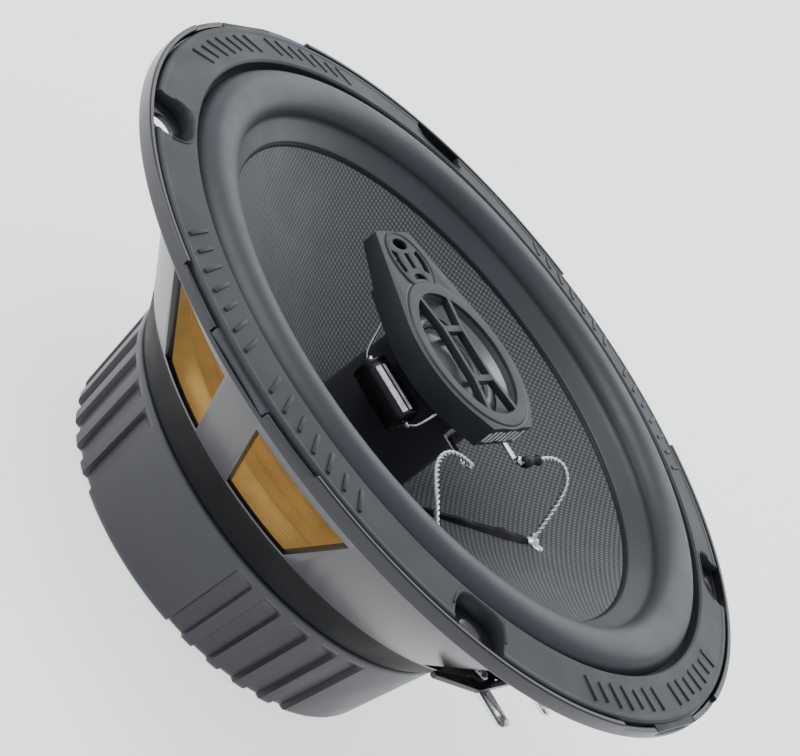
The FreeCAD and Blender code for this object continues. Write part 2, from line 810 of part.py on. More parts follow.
def make_super_grille():
    """Round cap with a hole at each end, two side slots and a short middle slot."""
    cap = doc.addObject("PartDesign::Body", "super_tweeter_grille")
    plan = new_sketch(cap, "cap_plan", "XY_Plane", "grille_seat")
    draw_circle(plan, "super_x", "0", "super_radius")
    pad = cap.newObject("PartDesign::Pad", "cap_pad")
    pad.Profile = plan
    pad.setExpression("Length", bound("housing_top - grille_seat"))
    doc.recompute()

    def end_holes(sketch):
        for place in ("super_x - 4.3", "super_x + 3.9"):
            draw_outline(sketch, [(f"{place} - 1.15", "1.1", "-1.6"), (f"{place} + 1.15", "1.1"),
                                  (f"{place} + 1.15", "-1.1", "-1.6"), (f"{place} - 1.15", "-1.1")])

    def middle_slot(sketch):
        draw_outline(sketch, [("super_x - 2", "-0.75"), ("super_x + 1.8", "-0.75"),
                              ("super_x + 1.8", "0.75"), ("super_x - 2", "0.75")])

    side = [("super_x - 3.4", "3.5"), ("super_x + 3.0", "3.5"), ("super_x + 3.4", "4.6"),
            ("super_x + 1.2", "5.7"), ("super_x - 1.6", "5.7"), ("super_x - 3.8", "4.6")]

    def side_slots(sketch):
        draw_outline(sketch, side)
        draw_outline(sketch, mirrored(side))

    for name, draw in (("end_holes", end_holes), ("middle_slot", middle_slot),
                       ("side_slots", side_slots)):
        cut_up(cap, name, draw, "grille_seat - 1", "4")
    return cap


# ---------------------------------------------------------------- tweeter motors
def dome_profile(radius, base, height, wall):
    """Corners of a thin dome: out over the top arc, back along the underside."""
    crown = f"(({radius})^2 + ({height})^2) / (2 * ({height}))"
    under = f"(({radius} - {wall})^2 + ({height} - {wall})^2) / (2 * ({height} - {wall}))"
    return [("0", f"{base} + {height} - {wall}", f"-({under})"),
            (f"{radius} - {wall}", base),
            (radius, base, crown),
            ("0", f"{base} + {height}")]


def make_tweeter_parts():
    turned_body("tweeter_dome", dome_profile("dome_radius", "dome_base", "dome_height", "dome_wall"))
    tube_body("tweeter_coil", "tweeter_coil_inner", "dome_radius", "tweeter_coil_bottom", "dome_base")
    turned_body("tweeter_surround", [
        ("tweeter_surround_inner", "dome_base"),
        ("tweeter_surround_outer", "dome_base - 0.35"),
        ("tweeter_surround_outer", "dome_base + 0.05"),
        ("tweeter_surround_outer - 0.8", "dome_base + 0.1"),
        ("(tweeter_surround_inner + tweeter_surround_outer - 0.8) / 2", "dome_base + 1.1"),
        ("tweeter_surround_inner", "dome_base + 0.4"),
    ])
    turned_body("tweeter_yoke", [
        ("0", "cup_bottom"), ("cup_radius", "cup_bottom"), ("cup_radius", "cup_top"),
        ("cup_inner", "cup_top"), ("cup_inner", "cup_floor"), ("0", "cup_floor"),
    ])
    turned_body("tweeter_magnet", [
        ("0", "cup_floor"), ("cup_magnet_radius", "cup_floor"),
        ("cup_magnet_radius", "cup_magnet_top"), ("0", "cup_magnet_top"),
    ])
    turned_body("tweeter_pole_plate", [
        ("0", "cup_magnet_top"), ("cup_plate_radius", "cup_magnet_top"),
        ("cup_plate_radius", "cup_plate_top"), ("0", "cup_plate_top"),
    ])


def make_super_tweeter_parts():
    disc = doc.addObject("Part::Cylinder", "super_tweeter_disc")
    disc.setExpression("Radius", bound("disc_radius"))
    disc.setExpression("Height", bound("disc_thickness"))
    disc.setExpression("Placement.Base.x", bound("super_x"))
    disc.setExpression("Placement.Base.z", bound("mini_dome_base - disc_thickness"))
    dome = turned_body("super_tweeter_dome", dome_profile(
        "mini_dome_radius", "mini_dome_base", "mini_dome_height", "dome_wall"))
    dome.setExpression("Placement.Base.x", bound("super_x"))


# ---------------------------------------------------------------- crossover and leads
def make_capacitor():
    can = doc.addObject("Part::Cylinder", "capacitor")
    can.setExpression("Radius", bound("capacitor_radius"))
    can.setExpression("Height", bound("capacitor_length"))
    can.Placement = FreeCAD.Placement(V(0, 0, 0), FreeCAD.Rotation(V(0, 1, 0), 90))
    for axis in "xyz":
        can.setExpression(f"Placement.Base.{axis}", bound(f"capacitor_{axis}"))

    pad = doc.addObject("Part::Box", "pad_block")
    pad.Length = 9
    pad.Width = 6
    pad.Height = 4.4
    pad.Placement.Base = V(-3.7, number("capacitor_y"), number("capacitor_z") - 2.2)
    round_can = doc.addObject("Part::Cylinder", "pad_can_cut")
    round_can.Radius = number("capacitor_radius") + 0.02
    round_can.Height = 20
    round_can.Placement = FreeCAD.Placement(V(-9, number("capacitor_y"), number("capacitor_z")),
                                            FreeCAD.Rotation(V(0, 1, 0), 90))
    round_post = doc.addObject("Part::Cylinder", "pad_post_cut")
    round_post.Radius = number("post_radius") + 0.02
    round_post.Height = 20
    round_post.Placement.Base = V(0, 0, number("capacitor_z") - 10)
    cutters = doc.addObject("Part::MultiFuse", "pad_cutters")
    cutters.Shapes = [round_can, round_post]
    adhesive = doc.addObject("Part::Cut", "capacitor_adhesive")
    adhesive.Base = pad
    adhesive.Tool = cutters


CAPACITOR_WIRE_ROUTES = [
    [(-5.7, -16.6, -5.7), (-7.7, -16.5, -5.3), (-9.4, -15.9, -2.9), (-11.2, -14.6, 0.3)],
    [(7.3, -16.6, -5.7), (9.0, -16.4, -5.2), (9.6, -15.3, -3.2), (9.4, -13.8, 0.3)],
]
TWEETER_LEAD_NEAR = [
    (21.0, -11.3, -0.75), (18.9, -14.6, -0.1), (17.6, -18.4, -0.6), (18.9, -21.6, -2.0),
    (22.4, -24.0, -3.2), (26.0, -25.4, -4.6), (28.9, -25.1, -7.0), (31.0, -23.7, -9.0),
    (32.5, -22.0, -10.6),
]
TWEETER_LEAD_FAR = [
    (21.4, 11.3, -0.75), (22.0, 15.2, 0.8), (22.4, 19.1, 1.8), (24.2, 22.4, 2.0),
    (27.0, 24.2, 0.1), (29.0, 24.5, -3.4), (30.7, 23.7, -7.2), (32.4, 22.1, -10.8),
]
COIL_LEAD_NEAR = [
    (32.8, -21.6, -14.1), (33.4, -21.4, -18.0), (36.0, -20.8, -21.2), (40.3, -19.7, -21.5),
    (44.8, -17.9, -20.2), (49.0, -15.6, -19.6), (52.0, -13.4, -20.2), (53.6, -11.8, -21.4),
]


def make_leads():
    lead = number("lead_radius")
    wires = [tube_along(route, number("wire_radius")) for route in CAPACITOR_WIRE_ROUTES]
    shaped("capacitor_wires", Part.makeCompound(wires))
    shaped("tweeter_lead_near", tube_along(TWEETER_LEAD_NEAR, lead))
    shaped("tweeter_lead_far", tube_along(TWEETER_LEAD_FAR, lead))
    far = [(x, -y, z) for x, y, z in COIL_LEAD_NEAR]
    shaped("coil_lead_near", tube_along(COIL_LEAD_NEAR, lead))
    shaped("coil_lead_far", tube_along(far, lead))

    tabs = []
    for side in (-1, 1):
        riser = Part.makeBox(0.5, 2.4, 2.7, V(13.0, side * 11.3 - 1.2, -2.1))
        strip = Part.makeBox(7.8, 2.4, 0.5, V(13.0, side * 11.3 - 1.2, -2.1))
        tabs.append(riser.fuse(strip).removeSplitter())
    shaped("housing_tabs", Part.makeCompound(tabs))
    route = TWEETER_LEAD_FAR
    way = V(*route[1]) - V(*route[0])
    sleeve = Part.makeCylinder(lead + 0.6, 3.2, V(*route[0]) + V(way).normalize() * 0.3, way)
    bore = Part.makeCylinder(lead + 0.02, 3.4, V(*route[0]) + V(way).normalize() * 0.2, way)
    shaped("lead_sleeve", sleeve.cut(bore).cut(tabs[1]))


def make_eyelets():
    """Solder points on the cone, where the tweeter leads and the coil leads meet."""
    reach = math.hypot(number("eyelet_x"), number("eyelet_y"))
    run = number("cone_edge_radius - former_outer - 0.05")
    rise = number("cone_edge_z - neck_z")
    surface = number("neck_z") + rise * (reach - number("former_outer + 0.05")) / run
    lean = math.atan2(rise, run)
    points = []
    for side in (-1, 1):
        heading = math.atan2(side * number("eyelet_y"), number("eyelet_x"))
        away = V(math.cos(heading), math.sin(heading), 0)
        normal = away * -math.sin(lean) + V(0, 0, math.cos(lean))
        foot = V(number("eyelet_x"), side * number("eyelet_y"), surface) + normal * 0.06
        points.append(Part.makeCylinder(number("eyelet_radius"), 0.8, foot, normal))
    shaped("lead_eyelets", Part.makeCompound(points))

    strips = []
    for side in (-1, 1):
        heading = math.atan2(side * number("eyelet_y"), number("eyelet_x"))
        strip = Part.makeBox(16.5, 2.6, 0.8, V(0, -1.3, 0))
        turn = FreeCAD.Rotation(V(0, 0, 1), math.degrees(heading))
        tilt = FreeCAD.Rotation(V(0, 1, 0), -math.degrees(lean))
        start = 19.5
        height = number("neck_z") + rise * (start - number("former_outer")) / run + 0.16
        strip.Placement = FreeCAD.Placement(
            V(start * math.cos(heading), start * math.sin(heading), height), turn.multiply(tilt))
        strips.append(strip)
    shaped("coil_wire_glue", Part.makeCompound(strips))


# ---------------------------------------------------------------- terminals
def make_terminals():
    padded_body("terminal_board", [
        ("board_inner", "board_notch_half"),
        ("board_inner", "board_half - 1"),
        ("board_inner + 1", "board_half"),
        ("board_outer", "board_corner"),
        ("board_outer", "-board_corner"),
        ("board_inner + 1", "-board_half"),
        ("board_inner", "-board_half + 1"),
        ("board_inner", "-board_notch_half"),
        ("board_notch", "-board_notch_half"),
        ("board_notch", "board_notch_half"),
    ], "board_top - board_thickness", "board_thickness")
    for label, width, middle in (("terminal_large", "large_blade_width", "-blade_offset"),
                                 ("terminal_small", "small_blade_width", "blade_offset")):
        blade = padded_body(label, [
            ("blade_root", f"{middle} - {width} / 2"),
            ("blade_tip - 0.8", f"{middle} - {width} / 2"),
            ("blade_tip", f"{middle} - {width} / 2 + 0.8"),
            ("blade_tip", f"{middle} + {width} / 2 - 0.8"),
            ("blade_tip - 0.8", f"{middle} + {width} / 2"),
            ("blade_root", f"{middle} + {width} / 2"),
        ], "board_top - board_thickness - blade_thickness", "blade_thickness")

        def blade_hole(sketch):
            draw_circle(sketch, "blade_hole_x", middle, "blade_hole_radius")

        cut_up(blade, label + "_hole", blade_hole, "board_top - board_thickness - 3", "4")
    rivets = []
    for side in (-1, 1):
        spot = V(54.6, side * number("blade_offset"), number("board_top"))
        rivets.append(Part.makeCylinder(1.3, 0.7, spot))
    shaped("terminal_rivets", Part.makeCompound(rivets))


make_basket()
make_trim_ring()
make_surround()
make_cone()
make_spider()
make_neck_adhesive()
tube_body("coil_former", "former_inner", "former_outer", "former_bottom", "former_top")
tube_body("coil_winding", "former_outer", "winding_outer", "winding_bottom", "winding_top")
make_top_plate()
tube_body("magnet", "magnet_inner", "magnet_radius",
          "-floor_depth - plate_thickness - magnet_thickness", "-floor_depth - plate_thickness")
make_yoke()
make_basket_rivets()
make_cover()
make_post()
make_post_screw()
make_housing()
make_tweeter_grille()
make_super_grille()
make_tweeter_parts()
make_super_tweeter_parts()
make_capacitor()
make_leads()
make_eyelets()
make_terminals()
doc.recompute()

NODES = [
    "basket", "trim_ring", "surround", "cone", "spider", "neck_adhesive", "coil_former",
    "coil_winding", "top_plate", "magnet", "pole_yoke", "basket_rivets", "magnet_cover",
    "tweeter_post", "post_screw", "tweeter_housing", "tweeter_grille", "super_tweeter_grille",
    "tweeter_dome", "tweeter_coil", "tweeter_surround", "tweeter_yoke", "tweeter_magnet",
    "tweeter_pole_plate", "super_tweeter_disc", "super_tweeter_dome", "capacitor",
    "capacitor_adhesive", "capacitor_wires", "housing_tabs", "lead_sleeve",
    "tweeter_lead_near", "tweeter_lead_far", "coil_lead_near", "coil_lead_far",
    "lead_eyelets", "coil_wire_glue", "terminal_board", "terminal_large", "terminal_small",
    "terminal_rivets",
]

for item in doc.Objects:
    if "Invalid" in item.State or "Error" in item.State:
        raise RuntimeError(f"{item.Name} failed: {item.State}")

os.makedirs("parts", exist_ok=True)
for node in NODES:
    item = doc.getObject(node)
    item.Label = node
    shape = item.Shape
    if shape.isNull() or not shape.isValid():
        raise RuntimeError(f"{node} has no valid shape")
    shape.exportStep(os.path.join("parts", node + ".step"))
    print(node, len(shape.Solids), "solids, %.1f mm3" % shape.Volume)
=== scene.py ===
import json
import math

import bmesh
import bpy
from mathutils import Matrix, Vector, noise


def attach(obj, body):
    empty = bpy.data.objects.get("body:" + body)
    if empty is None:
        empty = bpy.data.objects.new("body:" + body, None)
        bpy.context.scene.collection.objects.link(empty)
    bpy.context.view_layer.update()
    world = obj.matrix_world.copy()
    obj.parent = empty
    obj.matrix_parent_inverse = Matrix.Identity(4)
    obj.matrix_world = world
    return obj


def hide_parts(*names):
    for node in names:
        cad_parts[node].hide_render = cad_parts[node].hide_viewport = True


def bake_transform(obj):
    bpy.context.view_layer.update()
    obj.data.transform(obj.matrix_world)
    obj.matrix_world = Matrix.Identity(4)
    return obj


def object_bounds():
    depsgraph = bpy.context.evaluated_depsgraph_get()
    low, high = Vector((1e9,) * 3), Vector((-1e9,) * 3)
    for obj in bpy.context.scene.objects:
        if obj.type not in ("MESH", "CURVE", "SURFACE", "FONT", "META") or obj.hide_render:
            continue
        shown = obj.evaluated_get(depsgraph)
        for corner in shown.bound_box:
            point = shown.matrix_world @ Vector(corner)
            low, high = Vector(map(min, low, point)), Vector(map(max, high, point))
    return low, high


# Coaxial car loudspeaker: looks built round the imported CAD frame. Outlines, sizes and places
# are in millimetres, and MM turns them into metres. Lights and the camera are in metres.

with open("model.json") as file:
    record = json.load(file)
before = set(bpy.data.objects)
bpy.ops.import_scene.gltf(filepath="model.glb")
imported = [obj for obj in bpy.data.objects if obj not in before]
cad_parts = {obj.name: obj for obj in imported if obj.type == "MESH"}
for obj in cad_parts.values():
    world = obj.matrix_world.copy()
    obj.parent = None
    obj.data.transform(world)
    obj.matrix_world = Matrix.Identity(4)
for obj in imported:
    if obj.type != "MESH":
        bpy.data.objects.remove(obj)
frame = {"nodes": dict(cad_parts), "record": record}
CAD_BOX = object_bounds()
MM = 0.001

# Sizes that several pieces share. A pair is the radius and height of a point on a profile.
CONE_NECK = (15.4, -26.5)
CONE_EDGE = (56.5, -2.2)
RING_INNER = (72.5, 4.5)
RING_OUTER = (81.1, 3.15)
SCREW_TURN = 45.0       # degrees from +X to the first screw
SUPER_X = -21.8         # axis of the super tweeter
CAN_Y, CAN_Z = -16.6, -5.7      # axis of the capacitor
BOOT_FRONT, BOOT_REAR = (46.3, -37.2), (42.9, -58.6)


# ---------------------------------------------------------------- node helpers
def new_material(name):
    mat = bpy.data.materials.new(name)
    mat.use_nodes = True
    tree = mat.node_tree
    shader = tree.nodes["Principled BSDF"]
    return mat, tree, shader


def node(tree, kind, **settings):
    made = tree.nodes.new(kind)
    for key, value in settings.items():
        if key in made.inputs:
            made.inputs[key].default_value = value
        else:
            setattr(made, key, value)
    return made


def math_node(tree, operation, first, second=None):
    made = tree.nodes.new("ShaderNodeMath")
    made.operation = operation
    for index, value in enumerate((first, second)):
        if value is None:
            continue
        if isinstance(value, (int, float)):
            made.inputs[index].default_value = value
        else:
            tree.links.new(value, made.inputs[index])
    return made.outputs[0]


def coordinates(tree, scale=1.0, turn=0.0):
    place = node(tree, "ShaderNodeTexCoord").outputs["Object"]
    mapping = tree.nodes.new("ShaderNodeMapping")
    mapping.inputs["Scale"].default_value = (scale, scale, scale)
    mapping.inputs["Rotation"].default_value = (0, 0, math.radians(turn))
    tree.links.new(place, mapping.inputs["Vector"])
    return mapping.outputs[0]


def noise_out(tree, size_mm, detail=3.0, rough=0.55):
    made = node(tree, "ShaderNodeTexNoise", Scale=1000.0 / size_mm, Detail=detail, Roughness=rough)
    tree.links.new(coordinates(tree), made.inputs["Vector"])
    return made.outputs["Fac"]


def ramp(tree, value, stops):
    made = tree.nodes.new("ShaderNodeValToRGB")
    elements = made.color_ramp.elements
    while len(elements) < len(stops):
        elements.new(0.5)
    for element, (place, colour) in zip(elements, stops):
        element.position = place
        element.color = (*colour, 1.0)
    tree.links.new(value, made.inputs["Fac"])
    return made.outputs["Color"]


def spread(tree, value, low, high, start=0.25, end=0.75):
    made = tree.nodes.new("ShaderNodeMapRange")
    for key, number in (("From Min", start), ("From Max", end), ("To Min", low), ("To Max", high)):
        made.inputs[key].default_value = number
    tree.links.new(value, made.inputs["Value"])
    return made.outputs["Result"]


def add_bump(tree, shader, height, strength, depth_mm):
    made = node(tree, "ShaderNodeBump", Strength=strength, Distance=depth_mm * MM)
    tree.links.new(height, made.inputs["Height"])
    previous = shader.inputs["Normal"].links
    if previous:
        tree.links.new(previous[0].from_socket, made.inputs["Normal"])
    tree.links.new(made.outputs["Normal"], shader.inputs["Normal"])


def scaled(colour, factor):
    return tuple(min(1.0, part * factor) for part in colour)


def surface(name, colour, rough, spread_rough=0.06, patch_mm=22.0, vary=0.12, grain_mm=0.35,
            grain=0.25, grain_depth=0.02, metal=0.0, coat=0.0, sheen=0.0, specular=0.5, dust=0.0):
    """Plastic, rubber, paint or metal: patchy tone, uneven gloss and a fine grain."""
    mat, tree, shader = new_material(name)
    shader.inputs["Metallic"].default_value = metal
    shader.inputs["Coat Weight"].default_value = coat
    shader.inputs["Coat Roughness"].default_value = 0.12
    shader.inputs["Sheen Weight"].default_value = sheen
    shader.inputs["Specular IOR Level"].default_value = specular
    patch = noise_out(tree, patch_mm)
    tone = ramp(tree, patch, [(0.3, scaled(colour, 1 - vary)), (0.7, scaled(colour, 1 + vary))])
    if dust:
        speck = ramp(tree, noise_out(tree, 1.1, 2.0), [(0.62, (0, 0, 0)), (0.8, (dust,) * 3)])
        add = node(tree, "ShaderNodeMixRGB", blend_type="ADD", Fac=1.0)
        tree.links.new(tone, add.inputs["Color1"])
        tree.links.new(speck, add.inputs["Color2"])
        tone = add.outputs["Color"]
    tree.links.new(tone, shader.inputs["Base Color"])
    gloss = spread(tree, noise_out(tree, patch_mm * 0.45), rough - spread_rough, rough + spread_rough)
    tree.links.new(gloss, shader.inputs["Roughness"])
    add_bump(tree, shader, noise_out(tree, grain_mm, 2.0), grain, grain_depth)
    return mat


def weave(name, dark, light, pitch_mm, turn, rough, depth_mm, strength, patch=None, painted_glow=0.0):
    """Plain weave along two straight directions: staggered raised threads on a darker ground."""
    mat, tree, shader = new_material(name)
    split = tree.nodes.new("ShaderNodeSeparateXYZ")
    tree.links.new(coordinates(tree, math.pi * 1000.0 / pitch_mm, turn), split.inputs[0])
    along = math_node(tree, "SINE", split.outputs["X"])
    across = math_node(tree, "SINE", split.outputs["Y"])
    product = math_node(tree, "MULTIPLY", along, across)
    threads = spread(tree, product, 0.0, 1.0, -1.0, 1.0)
    stops = [(0.3, dark), (0.62, tuple(a * 0.65 + b * 0.35 for a, b in zip(dark, light))), (0.95, light)]
    tone = ramp(tree, threads, stops)
    if patch:
        mix = node(tree, "ShaderNodeMixRGB", blend_type="MULTIPLY", Fac=1.0)
        stain = ramp(tree, noise_out(tree, patch[0]), [(0.35, (patch[1],) * 3), (0.65, (1, 1, 1))])
        tree.links.new(tone, mix.inputs["Color1"])
        tree.links.new(stain, mix.inputs["Color2"])
        tone = mix.outputs["Color"]
    tree.links.new(tone, shader.inputs["Base Color"])
    # painted_glow: the weave's tone is also sent out as emission, painted light that lifts the cloth out of
    # shade
    if painted_glow:
        tree.links.new(tone, shader.inputs["Emission Color"])
        shader.inputs["Emission Strength"].default_value = painted_glow
    shader.inputs["Specular IOR Level"].default_value = 0.5
    tree.links.new(spread(tree, noise_out(tree, 9.0), rough - 0.06, rough + 0.06), shader.inputs["Roughness"])
    add_bump(tree, shader, threads, strength, depth_mm)
    return mat


def brushed(name, colour, rough, direction=(60.0, 60.0, 3.0), metal=1.0):
    """Metal with fine drawn or turned lines."""
    mat, tree, shader = new_material(name)
    mapping = tree.nodes.new("ShaderNodeMapping")
    mapping.inputs["Scale"].default_value = tuple(part * 40.0 for part in direction)
    tree.links.new(node(tree, "ShaderNodeTexCoord").outputs["Object"], mapping.inputs["Vector"])
    lines = node(tree, "ShaderNodeTexNoise", Scale=1.0, Detail=4.0)
    tree.links.new(mapping.outputs[0], lines.inputs["Vector"])
    tone = ramp(tree, lines.outputs["Fac"], [(0.3, scaled(colour, 0.8)), (0.7, scaled(colour, 1.1))])
    tree.links.new(tone, shader.inputs["Base Color"])
    shader.inputs["Metallic"].default_value = metal
    tree.links.new(spread(tree, lines.outputs["Fac"], rough - 0.07, rough + 0.1), shader.inputs["Roughness"])
    add_bump(tree, shader, lines.outputs["Fac"], 0.2, 0.02)
    return mat


MATERIALS = {
    "basket_enamel": surface("basket_enamel_look", (0.013, 0.0145, 0.017), 0.3, coat=0.12, specular=0.4,
                             spread_rough=0.02, grain_mm=3.0, grain=0.03, vary=0.05),
    "trim_plastic": surface("trim_plastic_look", (0.036, 0.040, 0.046), 0.46, grain_mm=0.3,
                            grain=0.35, vary=0.1, dust=0.006, specular=0.32),
    "surround_rubber": surface("surround_rubber_look", (0.034, 0.038, 0.044), 0.42, grain_mm=0.5,
                               grain=0.15, vary=0.08, sheen=0.05, dust=0.004),
    "cone_weave": weave("cone_weave_look", (0.024, 0.026, 0.029), (0.15, 0.158, 0.168), 0.62, 8.0,
                        0.5, 0.09, 0.6),
    # The spider cloth glows a little: painted light that brightens it in the shade behind the basket windows.
    "spider_cloth": weave("spider_cloth_look", (0.72, 0.38, 0.09), (1.0, 0.66, 0.24), 0.26, 20.0,
                          0.62, 0.05, 0.5, patch=(14.0, 0.7), painted_glow=0.3),
    "black_adhesive": surface("black_adhesive_look", (0.005, 0.005, 0.006), 0.42, grain_mm=1.2,
                              grain=0.2, grain_depth=0.05, specular=0.25),
    "coil_aluminium": brushed("coil_aluminium_look", (0.72, 0.72, 0.73), 0.34),
    "coil_copper": brushed("coil_copper_look", (0.75, 0.33, 0.14), 0.3, (2.0, 2.0, 160.0)),
    "motor_steel": brushed("motor_steel_look", (0.5, 0.5, 0.51), 0.4),
    "ferrite": surface("ferrite_look", (0.045, 0.045, 0.048), 0.7, grain_mm=0.5, grain=0.5),
    "boot_rubber": surface("boot_rubber_look", (0.016, 0.018, 0.024), 0.42, grain_mm=0.45,
                           grain=0.22, vary=0.1, sheen=0.03, dust=0.003),
    "rivet_steel": brushed("rivet_steel_look", (0.6, 0.6, 0.61), 0.36),
    "post_plastic": surface("post_plastic_look", (0.034, 0.036, 0.040), 0.4, grain_mm=0.4,
                            grain=0.15, specular=0.4),
    "housing_plastic": surface("housing_plastic_look", (0.030, 0.033, 0.037), 0.45, specular=0.32,
                               grain_mm=0.28, grain=0.3, vary=0.1, dust=0.01),
    "dome_film": surface("dome_film_look", (0.10, 0.105, 0.11), 0.3, metal=0.35, grain_mm=2.5,
                         grain=0.04, coat=0.3),
    "piezo_brass": brushed("piezo_brass_look", (0.7, 0.53, 0.25), 0.32),
    "capacitor_sleeve": surface("capacitor_sleeve_look", (0.004, 0.004, 0.005), 0.3, grain_mm=1.5,
                                grain=0.15, specular=0.4),
    "tinned_wire": brushed("tinned_wire_look", (0.78, 0.78, 0.77), 0.24),
    "braid": brushed("braid_look", (0.86, 0.86, 0.85), 0.34, (90.0, 90.0, 90.0)),
    "sleeve_rubber": surface("sleeve_rubber_look", (0.007, 0.007, 0.008), 0.5),
    "board_laminate": surface("board_laminate_look", (0.010, 0.010, 0.010), 0.3, grain_mm=0.8,
                              grain=0.3),
    "white_paint": surface("white_paint_look", (0.88, 0.88, 0.88), 0.45, vary=0.08, patch_mm=1.2),
    # A bright, metallic copy of the housing plastic: painted sheen for the horn's inner wall.
    "horn_painted_sheen": surface("horn_painted_sheen_look", (0.2, 0.205, 0.21), 0.3, metal=0.6, vary=0.05,
                            grain=0.03),
    # A darker, duller copy of the basket enamel: painted shade for the rear step under the windows.
    "basket_enamel_painted_shade": surface("basket_enamel_painted_shade_look", (0.0025, 0.0025, 0.003), 0.5, grain_mm=1.6,
                            grain=0.04, specular=0.06),
    "silver_print": surface("silver_print_look", (0.5, 0.5, 0.51), 0.35, vary=0.35, patch_mm=1.6,
                            metal=0.3),
}

for name, item in frame["nodes"].items():
    wanted = next(part["material_slot"] for part in frame["record"]["subparts"] if part["node"] == name)
    for place in item.material_slots:
        place.material = MATERIALS[wanted]


# ---------------------------------------------------------------- mesh helpers
def mesh_piece(name, verts, faces, slot, body="chassis", stands_for=(), look=None, smooth=38.0):
    """A mesh in millimetres made into an object that rides on a body."""
    mesh = bpy.data.meshes.new(name)
    mesh.from_pydata([tuple(part * MM for part in vert) for vert in verts], [], faces)
    mesh.update()
    item = bpy.data.objects.new(name, mesh)
    bpy.context.scene.collection.objects.link(item)
    return dress(item, slot, body, stands_for, look, smooth)


def dress(item, slot, body="chassis", stands_for=(), look=None, smooth=38.0):
    mesh = item.data
    work = bmesh.new()
    work.from_mesh(mesh)
    bmesh.ops.recalc_face_normals(work, faces=work.faces)
    work.to_mesh(mesh)
    work.free()
    for face in mesh.polygons:
        face.use_smooth = True
    mesh.set_sharp_from_angle(angle=math.radians(smooth))
    mesh.materials.clear()
    mesh.materials.append(MATERIALS[look or slot])
    if body:
        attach(item, body)
    if stands_for:
        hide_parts(*stands_for)
    return item


def bake(item):
    """Replaces the object's mesh with what its modifiers make of it."""
    graph = bpy.context.evaluated_depsgraph_get()
    made = bpy.data.meshes.new_from_object(item.evaluated_get(graph), depsgraph=graph)
    item.modifiers.clear()
    item.data = made


def soften(item, width, segments=2, angle=35.0):
    bevel = item.modifiers.new("edges", "BEVEL")
    bevel.width = width * MM
    bevel.segments = segments
    bevel.limit_method = "ANGLE"
    bevel.angle_limit = math.radians(angle)
    bevel.use_clamp_overlap = True
    bake(item)


def combine(item, tools, operation="DIFFERENCE"):
    """Cuts the tools out of the object, or joins them to it, and removes the tools."""
    for tool in tools:
        step = item.modifiers.new("step", "BOOLEAN")
        step.operation = operation
        step.solver = "EXACT"
        step.object = tool
    bake(item)
    for tool in tools:
        bpy.data.objects.remove(tool)


def rounded(corners, steps=6):
    """A closed outline whose corners (x, y, radius) are rounded; (x, y) corners stay sharp."""
    outline = []
    count = len(corners)
    for index, corner in enumerate(corners):
        here = Vector(corner[:2])
        if len(corner) < 3 or corner[2] <= 0:
            outline.append(tuple(here))
            continue
        back = Vector(corners[index - 1][:2]) - here
        ahead = Vector(corners[(index + 1) % count][:2]) - here
        turn = back.angle(ahead)
        reach = min(corner[2] / math.tan(turn / 2), back.length * 0.49, ahead.length * 0.49)
        start = here + back.normalized() * reach
        end = here + ahead.normalized() * reach
        for step in range(steps + 1):
            share = step / steps
            point = start.lerp(here, share).lerp(here.lerp(end, share), share)
            outline.append(tuple(point))
    return outline


def lathe(profile, segments=240):
    """A closed profile of (r, z) turned about Z."""
    verts = []
    faces = []
    count = len(profile)
    for step in range(segments):
        angle = 2 * math.pi * step / segments
        for radius, height in profile:
            verts.append((radius * math.cos(angle), radius * math.sin(angle), height))
    for step in range(segments):
        near = step * count
        far = (step + 1) % segments * count
        for place in range(count):
            after = (place + 1) % count
            faces.append((near + place, far + place, far + after, near + after))
    return verts, faces


def welded(item, distance=0.002):
    work = bmesh.new()
    work.from_mesh(item.data)
    bmesh.ops.remove_doubles(work, verts=work.verts, dist=distance * MM)
    bmesh.ops.dissolve_degenerate(work, edges=work.edges, dist=1e-7)
    work.to_mesh(item.data)
    work.free()
    return item


def prism(outline, low, high):
    count = len(outline)
    verts = [(x, y, low) for x, y in outline] + [(x, y, high) for x, y in outline]
    faces = [tuple(range(count - 1, -1, -1)), tuple(range(count, 2 * count))]
    for place in range(count):
        after = (place + 1) % count
        faces.append((place, after, count + after, count + place))
    return verts, faces


def turned(outline, degrees):
    spin = Matrix.Rotation(math.radians(degrees), 2)
    return [tuple(spin @ Vector(point)) for point in outline]


def circle(x, y, radius, count=64):
    step = 2 * math.pi / count
    return [(x + radius * math.cos(i * step), y + radius * math.sin(i * step)) for i in range(count)]


def tool(outline, low, high):
    return mesh_piece("tool", *prism(outline, low, high), "motor_steel", body=None)


def block(size, centre, turn=None):
    """Corners and faces of a box, to be joined into a longer list."""
    verts = []
    for x in (-0.5, 0.5):
        for y in (-0.5, 0.5):
            for z in (-0.5, 0.5):
                spot = Vector((x * size[0], y * size[1], z * size[2]))
                verts.append(tuple((turn @ spot if turn else spot) + Vector(centre)))
    faces = [(0, 1, 3, 2), (4, 6, 7, 5), (0, 4, 5, 1), (2, 3, 7, 6), (0, 2, 6, 4), (1, 5, 7, 3)]
    return verts, faces


def gather(parts):
    verts = []
    faces = []
    for more_verts, more_faces in parts:
        start = len(verts)
        verts += more_verts
        faces += [tuple(start + index for index in face) for face in more_faces]
    return verts, faces


def nurbs_line(points, resolution=14):
    """The smooth line that a NURBS spline with these control points draws, in millimetres."""
    data = bpy.data.curves.new("line", "CURVE")
    data.dimensions = "3D"
    data.resolution_u = resolution
    spline = data.splines.new("NURBS")
    spline.points.add(len(points) - 1)
    for spot, point in zip(spline.points, points):
        spot.co = (*point, 1.0)
    spline.order_u = 3
    spline.use_endpoint_u = True
    item = bpy.data.objects.new("line", data)
    bpy.context.scene.collection.objects.link(item)
    graph = bpy.context.evaluated_depsgraph_get()
    mesh = bpy.data.meshes.new_from_object(item.evaluated_get(graph))
    line = [vert.co.copy() for vert in mesh.vertices]
    bpy.data.objects.remove(item)
    return line


